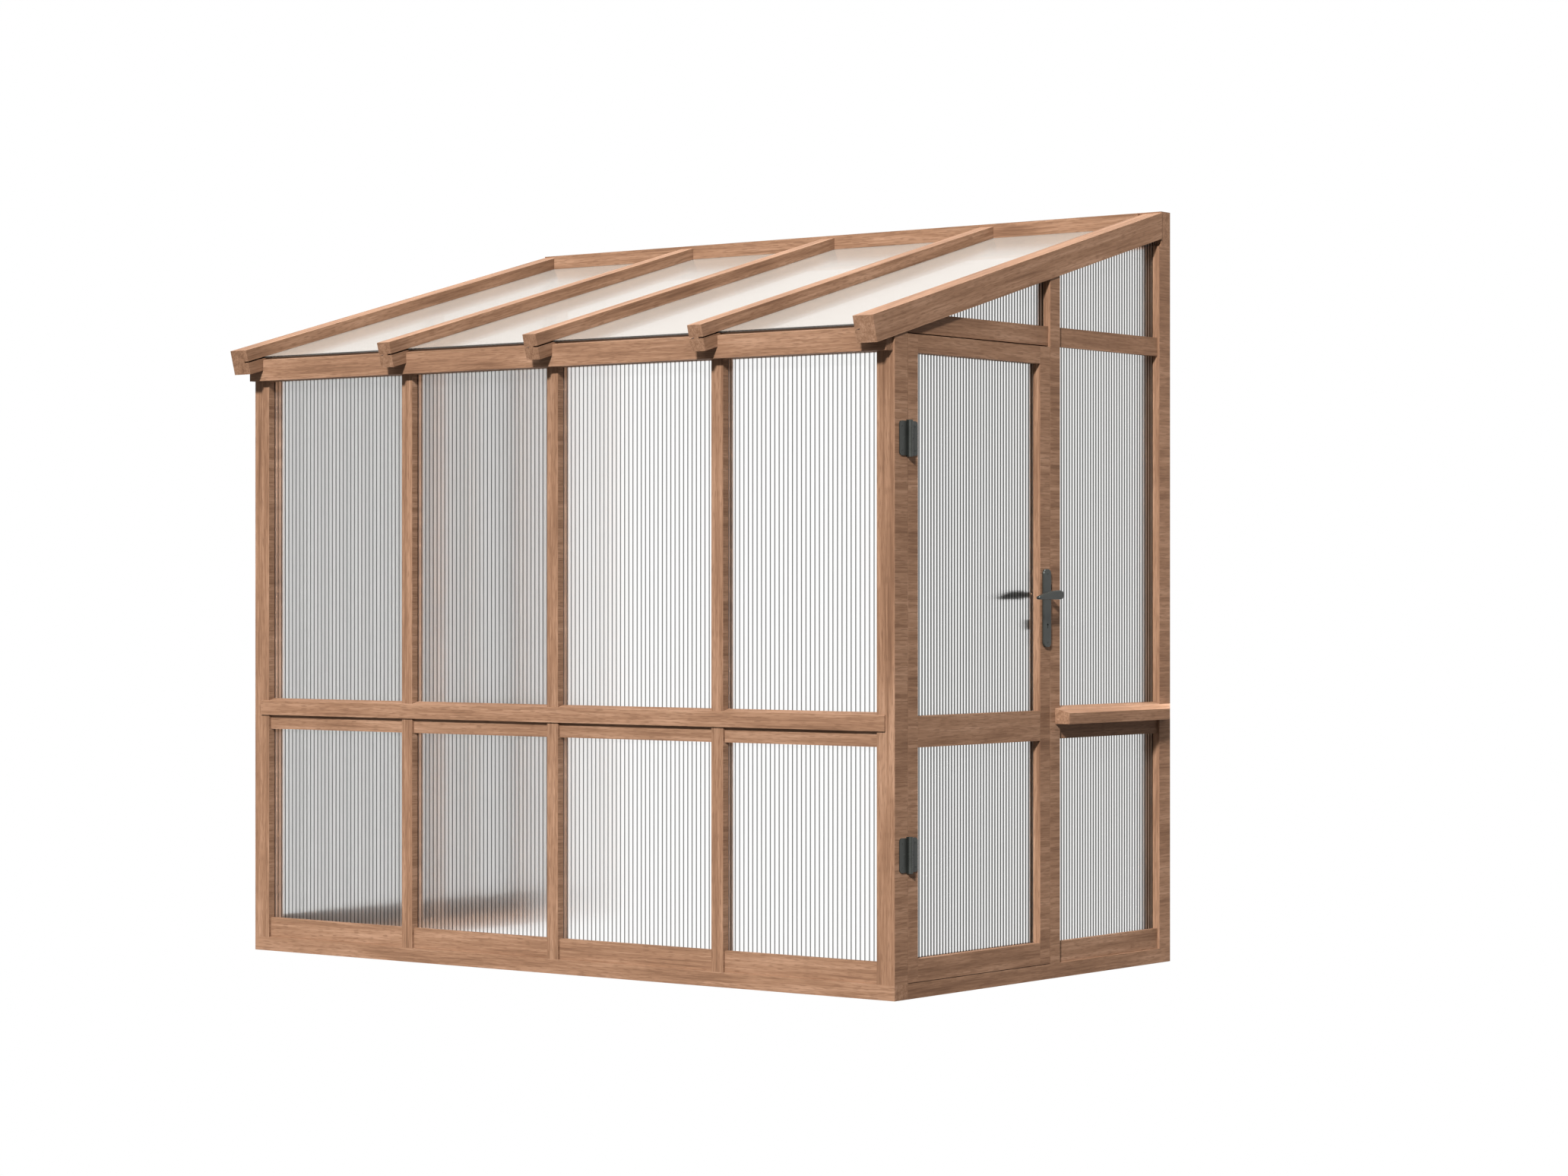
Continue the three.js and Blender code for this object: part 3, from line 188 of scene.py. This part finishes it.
class MetalLook(bpy.types.PropertyGroup):
    coat: colour("Coating", "Colour of the coated hinges and handles", (0.022, 0.0235, 0.021))
    faded: amount("Faded coating", "Brightness of the coating's faded clouds beside its colour", 1.7)
    coat_roughness: share("Coating roughness", "Roughness of the coating", 0.32)
    grains: amount("Coating grains", "Grains in a metre of coating", 900)
    clouds: amount("Coating clouds", "Faded clouds in a metre of coating", 30)
    steel: colour("Steel", "Colour of the lock and the keep plate", (0.42, 0.42, 0.41))
    dull: colour("Dull steel", "Colour of the plating's dull lines", (0.25, 0.25, 0.25))
    dull_share: share("Dull share", "How far a brushed line goes to the dull colour", 0.4)
    steel_roughness: share("Steel roughness", "Roughness of the plating", 0.4)
    lines: amount("Brushed lines", "Brushed lines in a metre across them", 2500)
    line_ends: amount("Line ends", "Changes in a metre along a brushed line", 60)


class FixingSizes(bpy.types.PropertyGroup):
    hinge_head: length("Hinge screw head", "Diameter of a hinge screw's head", 0.0085)
    plate_head: length("Plate screw head", "Diameter of a handle plate screw's head", 0.0075)
    rise: length("Head rise", "How far a head stands out of the metal", 0.0006)
    seat: length("Head seat", "How deep a head is sunk in the metal", 0.0015)
    edge: length("Edge distance", "Screw to the free edge of a hinge leaf", 0.010)
    row: length("Row distance", "Distance between a hinge leaf's two rows of screws", 0.012)
    spacing: length("Screw spacing", "Upright distance between a hinge leaf's screws", 0.033)
    plate_end: length("Plate end distance", "Screw to the end of a handle plate", 0.014)


class StudioSetting(bpy.types.PropertyGroup):
    camera_place: place("Camera place", "Where the camera stands", (7.11775, -8.1837, 1.0910))
    camera_turn: angle("Camera turn", "Turn of the level camera to the left of +Y", 37.578)
    focal_pixels: amount("Focal length", "Focal length in pixels of the full picture", 4910.4)
    horizon_drop: amount(
        "Horizon drop", "Horizon below the middle of the picture, in its pixels", 11.4)
    floor_reach: length("Floor reach", "From the middle of the floor to its edge", 60)
    surround: amount("Surround", "Brightness of the white surround and floor as seen", 1.0)
    fill: amount(
        "Fill", "Brightness of the surround and floor as they light matt faces", 0.2)
    key: amount("Key light", "Strength of the light from the front right", 7.0)
    key_from: direction("Key direction", "Where the key light comes from", (0.42, -1.0, 0.62))
    key_softness: angle("Key softness", "How wide the key light looks", 6)
    top: amount("Top light", "Strength of the soft light from overhead", 6.0)
    top_from: direction("Top direction", "Where the top light comes from", (0.0, 0.0, 1.0))
    top_softness: angle("Top softness", "How wide the top light looks", 30)
    back: amount("Back light", "Power of the lamp behind the open back", 280.0)
    back_size: length("Back light size", "Width of the lamp behind the open back", 1.2)
    back_place: place("Back light place", "Where the lamp stands", (0.9, 3.0, 1.3))
    back_from: direction("Back direction", "Where the back light comes from", (0.3, 1.0, 0.05))


class Value:
    """A number at each point of a surface, so that shader maths reads as an expression."""

    def __init__(self, nodes, socket):
        self.nodes = nodes
        self.socket = socket

    def maths(self, operation, *others):
        inputs = dict(enumerate((self, *others)))
        node = self.nodes.node("ShaderNodeMath", {"operation": operation}, inputs)
        return Value(self.nodes, node.outputs[0])

    def __add__(self, other):
        return self.maths("ADD", other)

    def __mul__(self, other):
        return self.maths("MULTIPLY", other)

    def __sub__(self, other):
        return self.maths("SUBTRACT", other)

    def __rsub__(self, other):
        return (self * -1) + other

    def __truediv__(self, other):
        return self.maths("DIVIDE", other)

    def __gt__(self, other):
        return self.maths("GREATER_THAN", other)

    def __lt__(self, other):
        return self.maths("LESS_THAN", other)

    def __abs__(self):
        return self.maths("ABSOLUTE")

    def fraction(self):
        return self.maths("FRACT")

    def between(self, low, high):
        """0 at low, 1 at high, smooth between them."""
        settings = {"interpolation_type": "SMOOTHSTEP"}
        inputs = {"Value": self, "From Min": low, "From Max": high}
        node = self.nodes.node("ShaderNodeMapRange", settings, inputs)
        return Value(self.nodes, node.outputs[0])


class Nodes:
    """A node tree and the ways to add to it."""

    def __init__(self, tree):
        self.tree = tree

    def node(self, kind, settings, inputs):
        node = self.tree.nodes.new(kind)
        for name, value in settings.items():
            setattr(node, name, value)
        for name, value in inputs.items():
            self.feed(node.inputs[name], value)
        return node

    def feed(self, socket, value):
        source = getattr(value, "socket", value)
        if isinstance(source, bpy.types.NodeSocket):
            self.tree.links.new(source, socket)
        elif socket.type == "RGBA" and len(source) == 3:
            socket.default_value = (*source, 1)
        else:
            socket.default_value = source

    def parts(self, vector):
        node = self.node("ShaderNodeSeparateXYZ", {}, {0: vector})
        return [Value(self, output) for output in node.outputs]

    def vector(self, x, y, z):
        node = self.node("ShaderNodeCombineXYZ", {}, {0: x, 1: y, 2: z})
        return node.outputs[0]

    def noise(self, vector, detail=2.0, distortion=0.0):
        inputs = {"Vector": vector, "Scale": 1.0, "Detail": detail, "Distortion": distortion}
        node = self.node("ShaderNodeTexNoise", {}, inputs)
        return Value(self, node.outputs["Fac"])

    def clouds(self, spot, count):
        """Noise with about so many clouds in a metre."""
        return self.noise(self.vector(*(axis * count for axis in spot)))

    def ramp(self, value, stops):
        node = self.node("ShaderNodeValToRGB", {}, {0: value})
        elements = node.color_ramp.elements
        while len(elements) < len(stops):
            elements.new(1.0)
        for element, (position, tint) in zip(elements, stops):
            element.position = position
            element.color = (*tint, 1)
        return node.outputs[0]

    def blend(self, factor, first, second):
        inputs = {0: factor, 6: first, 7: second}
        node = self.node("ShaderNodeMix", {"data_type": "RGBA"}, inputs)
        return node.outputs[2]

    def matt_light(self):
        """1 where the light that is followed lights a matt face, 0 where it is seen."""
        return self.node("ShaderNodeLightPath", {}, {}).outputs["Is Diffuse Ray"]


class Finish(Nodes):
    """One material, built from its surface shader outwards."""

    def __init__(self, name, **surface):
        self.material = bpy.data.materials.new(name)
        self.material.use_nodes = True
        super().__init__(self.material.node_tree)
        self.tree.nodes.clear()
        self.surface = self.node("ShaderNodeBsdfPrincipled", {}, surface)
        self.node("ShaderNodeOutputMaterial", {}, {"Surface": self.surface.outputs[0]})

    def spot(self):
        """The point on the object, and the way its face looks, as three numbers each."""
        source = self.node("ShaderNodeTexCoord", {}, {})
        return self.parts(source.outputs["Object"]), self.parts(source.outputs["Normal"])

    def set(self, name, value):
        self.feed(self.surface.inputs[name], value)

    def vary_roughness(self, value, middle, spread):
        """Roughness that follows a value from 0 to 1, half the spread to each side of a middle."""
        self.set("Roughness", value * spread + (middle - spread / 2))

    def bump(self, height, distance, strength):
        inputs = {"Height": height, "Distance": distance, "Strength": strength}
        self.set("Normal", self.node("ShaderNodeBump", {}, inputs).outputs[0])


def dress(node, finish):
    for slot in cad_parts[node].material_slots:
        slot.material = finish.material


def grain_axes(grain, spot, facing):
    """Distances along the grain, across it and into the timber."""
    x, y, z = spot
    if grain == "slope":
        return y * COSINE + z * SINE, z * COSINE - y * SINE, x
    if grain == "sideways":
        return x, z, y
    if grain == "back":
        return y, z, x
    # An upright timber's sides have their figure lying crosswise
    crosswise = abs(facing[0]) > SIDE_FACE
    return z + (y - z) * crosswise, y + (z - y) * crosswise, x


def timber_finish(name, grain, number):
    """Stained softwood with its grain along an axis, or down the slope of the roof."""
    look = bpy.context.scene.greenhouse_timber
    finish = Finish(name, **{"Specular IOR Level": look.shine})
    along, across, deep = grain_axes(grain, *finish.spot())
    shift = GRAIN_SHIFT * number

    def grained(width, run):
        return finish.vector(across / width + shift, deep / width, along / run + shift)

    fibre = finish.noise(grained(look.fibre_width, look.fibre_length), detail=3)
    streak = finish.noise(
        grained(look.streak_width, look.streak_length), detail=3, distortion=0.5)
    patch = finish.noise(grained(look.patch_width, look.patch_length), detail=1)
    fleck = finish.noise(grained(look.fleck_width, look.fleck_length), detail=0)
    tone = streak * STREAK_SHARE + fibre * FIBRE_SHARE + patch * PATCH_SHARE
    stain = finish.ramp(
        tone, [(DARK_TONE, look.dark), (MIDDLE_TONE, look.middle), (LIGHT_TONE, look.light)])
    flecks = fleck.between(FLECK_START, FLECK_FULL) * look.fleck_depth
    finish.set("Base Color", finish.blend(flecks, stain, look.dark))
    finish.vary_roughness(fibre, look.roughness, spread=0.2)
    raised = fibre * FIBRE_RELIEF + streak * STREAK_RELIEF
    finish.bump(raised, distance=look.relief, strength=0.5)
    return finish


def sheet_axes(wall, spot, low, high):
    """Distances across the ribs and in from the outer face of a sheet with these corners."""
    x, y, z = spot
    if wall == "roof":
        return x, high.z * COSINE - high.y * SINE - (z * COSINE - y * SINE)
    if wall == "front":
        return x, y - low.y
    return y, max(abs(low.x), abs(high.x)) - abs(x)


def sheet_finish(wall, pitch, stops, roughness, body):
    """Twin-wall sheet with its ribs as painted shade on the outer face and a fainter painted shade of
    them on the inner one.

    Each stop is a place, as a share of the rib spacing, and the tint there.
    """
    look = bpy.context.scene.greenhouse_sheets
    finish = Finish(f"{wall}_sheet", **body)
    spot, _ = finish.spot()
    nodes = SHEETS[wall]
    low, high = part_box(nodes[0])
    across, depth = sheet_axes(wall, spot, low, high)
    phase = (across / pitch).fraction()
    outer = depth < SHEET_THICKNESS / 2
    clear = stops[0][1]
    # Where the ribs fall, and so where their shade is painted
    web_shade = phase < stops[-1][0]
    inner_web_shade_tint = finish.blend(web_shade, clear, [channel * look.web_shade for channel in clear])
    # The outer face takes the rib stops' painted shade; the inner face takes a fainter painted shade
    # under each rib.
    tint = finish.blend(outer, inner_web_shade_tint, finish.ramp(phase, stops))
    if wall == "roof":
        # Painted shade inside the hollow cells of a roof sheet's cut end, in two tones across each rib
        # spacing
        cell_shade = finish.blend(phase < look.mouth, look.rib_middle_shade, look.rib_edge_shade)
        tint = finish.blend(spot[1] < low.y + SHEET_THICKNESS / 3, tint, cell_shade)
    else:
        finish.set("Alpha", outer * web_shade * look.opening + (1 - look.opening))
    finish.set("Base Color", tint)
    finish.vary_roughness(finish.clouds(spot, look.clouds), roughness, look.spread)
    return finish


def coated_finish(name):
    look = bpy.context.scene.greenhouse_metal
    finish = Finish(name, Metallic=0.5)
    spot, _ = finish.spot()
    clouds = finish.clouds(spot, look.clouds)
    faded = [channel * look.faded for channel in look.coat]
    finish.set("Base Color", finish.blend(clouds, look.coat, faded))
    finish.vary_roughness(clouds, look.coat_roughness, spread=0.12)
    finish.bump(finish.clouds(spot, look.grains), distance=0.0002, strength=0.3)
    return finish


def steel_finish(name):
    look = bpy.context.scene.greenhouse_metal
    finish = Finish(name, Metallic=0.9)
    (x, y, z), _ = finish.spot()
    brushed = finish.noise(finish.vector(x * look.lines, y * look.lines, z * look.line_ends))
    finish.set("Base Color", finish.blend(brushed * look.dull_share, look.steel, look.dull))
    finish.vary_roughness(brushed, look.steel_roughness, spread=0.2)
    finish.bump(brushed, distance=0.0001, strength=0.3)
    return finish


class PieceOperator:
    """What every step of the greenhouse shares."""

    bl_options = {"REGISTER", "UNDO"}


class GREENHOUSE_OT_timber(PieceOperator, bpy.types.Operator):
    """Gives each timber stained softwood with its own grain"""

    bl_idname = "greenhouse.timber"
    bl_label = "Finish the timber"

    def execute(self, context):
        timbers = [(grain, node) for grain, nodes in TIMBERS.items() for node in nodes]
        for number, (grain, node) in enumerate(timbers, start=1):
            dress(node, timber_finish(f"timber_{node}", grain, number))
        return {"FINISHED"}


class GREENHOUSE_OT_sheets(PieceOperator, bpy.types.Operator):
    """Gives the glazing sheets their ribs and their cloudy body"""

    bl_idname = "greenhouse.sheets"
    bl_label = "Finish the sheets"

    def execute(self, context):
        look = context.scene.greenhouse_sheets
        # The rib stops are painted shade: thin grey lines for the front sheets and bold dark lines for
        # the end sheets, the same ribs shaded as the light falls on each wall.
        thin = [(0, look.clear), (0.03, look.front_rib_shade), (0.23, look.front_rib_shade), (0.27, look.clear)]
        bold = [
            (0, look.clear), (0.03, look.rib_edge_shade), (0.12, look.rib_edge_shade),
            (0.16, look.rib_middle_shade), (0.34, look.rib_middle_shade), (0.38, look.rib_edge_shade),
            (0.47, look.rib_edge_shade), (0.50, look.clear),
        ]
        faint = [channel * look.roof_rib for channel in look.roof]
        hazy = [(0, look.roof), (0.06, faint), (0.12, look.roof)]
        # Light goes nearly straight through the thin walls of a sheet
        clear_body = {"IOR": 1.1, "Transmission Weight": 0.97}
        hazy_body = {"IOR": 1.45, "Alpha": look.roof_haze}
        finishes = {
            "front": sheet_finish("front", look.front_pitch, thin, look.wall_roughness, clear_body),
            "end": sheet_finish("end", look.end_pitch, bold, look.wall_roughness, clear_body),
            "roof": sheet_finish("roof", look.front_pitch, hazy, look.roof_roughness, hazy_body),
        }
        for wall, nodes in SHEETS.items():
            for node in nodes:
                dress(node, finishes[wall])
        return {"FINISHED"}


class GREENHOUSE_OT_metalwork(PieceOperator, bpy.types.Operator):
    """Gives the hinges, handles and lock their metal"""

    bl_idname = "greenhouse.metalwork"
    bl_label = "Finish the metalwork"

    def execute(self, context):
        coated = coated_finish("coated_metal")
        plated = steel_finish("plated_steel")
        for nodes, finish in ((COATED_METAL, coated), (PLATED_STEEL, plated)):
            for node in nodes:
                dress(node, finish)
        return {"FINISHED"}


class GREENHOUSE_OT_screws(PieceOperator, bpy.types.Operator):
    """Puts the screws in the hinge leaves and the handle plates"""

    bl_idname = "greenhouse.screws"
    bl_label = "Fit the screws"

    def execute(self, context):
        sizes = context.scene.greenhouse_fixings
        finish = coated_finish("screw_metal")
        places = self.plate_places(sizes, "outer_handle_plate", 1)
        places += self.plate_places(sizes, "inner_handle_plate", -1)
        screws(sizes, "handle_screws", places, sizes.plate_head, finish, "door")
        for body, toward in (("frame", -1), ("door", 1)):
            places = self.leaf_places(sizes, f"lower_hinge_{body}_leaf", toward)
            places += self.leaf_places(sizes, f"upper_hinge_{body}_leaf", toward)
            screws(sizes, f"hinge_{body}_screws", places, sizes.hinge_head, finish, body)
        return {"FINISHED"}

    def plate_places(self, sizes, node, outward):
        """One screw near each end of the plate."""
        low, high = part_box(node)
        face = high.x if outward > 0 else low.x
        middle = (low.y + high.y) / 2
        heights = (low.z + sizes.plate_end, high.z - sizes.plate_end)
        return [(face, middle, height, outward) for height in heights]

    def leaf_places(self, sizes, node, toward):
        """Three screws in two rows, the middle one nearer to the knuckles."""
        low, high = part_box(node)
        face = low.x + LEAF_THICKNESS
        middle = (low.z + high.z) / 2
        free = high.y if toward > 0 else low.y
        places = []
        for step in (-1, 0, 1):
            inward = sizes.edge if step else sizes.edge + sizes.row
            places.append((face, free - toward * inward, middle + step * sizes.spacing, 1))
        return places


def screws(sizes, name, places, diameter, finish, body):
    """One piece with a screw head at each place, each looking along X or against it."""
    corners, faces = [], []
    for x, y, z, outward in places:
        head = screw_head(diameter / 2, sizes.rise, sizes.seat)
        turn = Matrix.Rotation(outward * math.pi / 2, 4, "Y")
        head.transform(Matrix.Translation((x, y, z)) @ turn)
        add_in_order(head, corners, faces)
        head.free()
    mesh = bpy.data.meshes.new(name)
    mesh.from_pydata(corners, [], faces)
    mesh.materials.append(finish.material)
    piece = bpy.data.objects.new(name, mesh)
    bpy.context.collection.objects.link(piece)
    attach(piece, body)


def add_in_order(shape, corners, faces):
    """Adds a shape's corners and faces to two lists, in an order that is the same each run."""
    ordered = sorted(shape.verts, key=lambda corner: corner.co[:])
    number = {corner: len(corners) + place for place, corner in enumerate(ordered)}
    corners += [corner.co[:] for corner in ordered]
    outlines = []
    for face in shape.faces:
        outline = [number[corner] for corner in face.verts]
        first = outline.index(min(outline))
        outlines.append(outline[first:] + outline[:first])
    faces += sorted(outlines)


def screw_head(radius, rise, seat):
    """A countersunk head with a cross slot. It looks along +Z, with its rim at height 0."""
    head = bmesh.new()
    bmesh.ops.create_cone(
        head, cap_ends=True, segments=HEAD_SIDES, radius1=radius / 2, radius2=radius, depth=seat)
    bmesh.ops.translate(head, verts=head.verts, vec=(0, 0, -seat / 2))
    rim = raise_faces(head, [top_face(head)], rise)
    bmesh.ops.scale(head, verts=rim, vec=(CROWN, CROWN, 1))
    bmesh.ops.inset_region(head, faces=[top_face(head)], thickness=radius * BAND)
    arm = radius * SLOT_HALF_WIDTH
    for axis in (Vector((1, 0, 0)), Vector((0, 1, 0))):
        for side in (-arm, arm):
            flat = top_faces(head)
            around = {element for face in flat for element in (*face.edges, *face.verts)}
            bmesh.ops.bisect_plane(head, geom=[*flat, *around], plane_co=axis * side, plane_no=axis)
    slot = []
    for face in top_faces(head):
        middle = face.calc_center_median().xy
        if middle.length < radius * SLOT_REACH and min(abs(middle.x), abs(middle.y)) < arm:
            slot.append(face)
    raise_faces(head, slot, -seat / 2)
    bmesh.ops.recalc_face_normals(head, faces=head.faces)
    return head


def raise_faces(shape, faces, height):
    """Moves faces along Z, with walls up from where they were, and gives their corners."""
    raised = bmesh.ops.extrude_face_region(shape, geom=faces)["geom"]
    corners = [element for element in raised if isinstance(element, bmesh.types.BMVert)]
    bmesh.ops.translate(shape, verts=corners, vec=(0, 0, height))
    bmesh.ops.delete(shape, geom=faces, context="FACES")
    return corners


def top_faces(shape):
    """The level faces at the very top."""
    highest = max(face.calc_center_median().z for face in shape.faces)
    return [face for face in shape.faces if face.calc_center_median().z > highest - LEVEL]


def top_face(shape):
    return max(top_faces(shape), key=lambda face: face.calc_area())


class GREENHOUSE_OT_studio(PieceOperator, bpy.types.Operator):
    """Sets the floor, the lights and the camera"""

    bl_idname = "greenhouse.studio"
    bl_label = "Set the studio"

    def execute(self, context):
        setting = context.scene.greenhouse_studio
        context.scene.view_settings.view_transform = "Standard"
        self.floor(setting)
        self.surround(setting)
        self.sun("key_light", setting.key, setting.key_from, setting.key_softness)
        self.sun("top_light", setting.top, setting.top_from, setting.top_softness)
        self.back_light(setting)
        self.camera(setting)
        return {"FINISHED"}

    def floor(self, setting):
        """A floor as white as the surround, that lights matt faces only as far as the fill does."""
        mesh = bpy.data.meshes.new("floor")
        shape = bmesh.new()
        bmesh.ops.create_grid(shape, x_segments=1, y_segments=1, size=setting.floor_reach)
        shape.to_mesh(mesh)
        shape.free()
        finish = Finish("floor", **{
            "Base Color": BLACK, "Specular IOR Level": 0, "Emission Strength": setting.surround})
        dim = [setting.fill / setting.surround] * 3
        finish.set("Emission Color", finish.blend(finish.matt_light(), WHITE, dim))
        mesh.materials.append(finish.material)
        ground = bpy.data.objects.new("floor", mesh)
        bpy.context.collection.objects.link(ground)

    def surround(self, setting):
        world = bpy.data.worlds.new("surround")
        world.use_nodes = True
        nodes = Nodes(world.node_tree)
        background = nodes.tree.nodes["Background"]
        nodes.feed(background.inputs["Color"], WHITE)
        inputs = {
            "Value": nodes.matt_light(), "To Min": setting.surround, "To Max": setting.fill}
        strength = nodes.node("ShaderNodeMapRange", {}, inputs)
        nodes.feed(background.inputs["Strength"], strength.outputs[0])
        bpy.context.scene.world = world

    def sun(self, name, strength, toward, softness):
        lamp = bpy.data.lights.new(name, "SUN")
        lamp.energy = strength
        lamp.angle = softness
        source = self.put(lamp, toward)
        source.visible_transmission = softness > SHARP_LAMP

    def back_light(self, setting):
        """A soft lamp outside the open back that lights the inside and isn't seen itself."""
        lamp = bpy.data.lights.new("back_light", "AREA")
        lamp.energy = setting.back
        lamp.size = setting.back_size
        source = self.put(lamp, setting.back_from)
        source.location = setting.back_place
        source.visible_camera = False
        source.visible_transmission = False
        source.visible_glossy = False

    def put(self, lamp, toward):
        """Puts a lamp in the scene, with its light coming from a direction."""
        source = bpy.data.objects.new(lamp.name, lamp)
        source.rotation_euler = toward.to_track_quat("Z", "Y").to_euler()
        bpy.context.collection.objects.link(source)
        return source

    def camera(self, setting):
        lens = bpy.data.cameras.new("camera")
        lens.lens = setting.focal_pixels / IMAGE_WIDTH * lens.sensor_width
        lens.shift_y = setting.horizon_drop / IMAGE_WIDTH
        camera = bpy.data.objects.new("camera", lens)
        turn = Matrix.Rotation(setting.camera_turn, 4, "Z") @ Matrix.Rotation(math.pi / 2, 4, "X")
        camera.matrix_world = Matrix.Translation(setting.camera_place) @ turn
        bpy.context.collection.objects.link(camera)
        bpy.context.scene.camera = camera


class GREENHOUSE_PT_panel(bpy.types.Panel):
    """Lists the steps of the greenhouse"""

    bl_idname = "GREENHOUSE_PT_panel"
    bl_label = "Greenhouse"
    bl_space_type = "VIEW_3D"
    bl_region_type = "UI"
    bl_category = "Greenhouse"

    def draw(self, context):
        for operator in OPERATORS:
            self.layout.operator(operator.bl_idname)


OPERATORS = (
    GREENHOUSE_OT_timber, GREENHOUSE_OT_sheets, GREENHOUSE_OT_metalwork, GREENHOUSE_OT_screws,
    GREENHOUSE_OT_studio,
)
GROUPS = {
    "greenhouse_timber": TimberLook,
    "greenhouse_sheets": SheetLook,
    "greenhouse_metal": MetalLook,
    "greenhouse_fixings": FixingSizes,
    "greenhouse_studio": StudioSetting,
}


def register():
    for name, group in GROUPS.items():
        bpy.utils.register_class(group)
        setattr(bpy.types.Scene, name, bpy.props.PointerProperty(type=group))
    for operator in OPERATORS:
        bpy.utils.register_class(operator)
    bpy.utils.register_class(GREENHOUSE_PT_panel)


def unregister():
    bpy.utils.unregister_class(GREENHOUSE_PT_panel)
    for operator in reversed(OPERATORS):
        bpy.utils.unregister_class(operator)
    for name, group in reversed(GROUPS.items()):
        delattr(bpy.types.Scene, name)
        bpy.utils.unregister_class(group)


def main():
    register()
    bpy.ops.greenhouse.timber()
    bpy.ops.greenhouse.sheets()
    bpy.ops.greenhouse.metalwork()
    bpy.ops.greenhouse.screws()
    bpy.ops.greenhouse.studio()


if __name__ == "__main__":
    main()
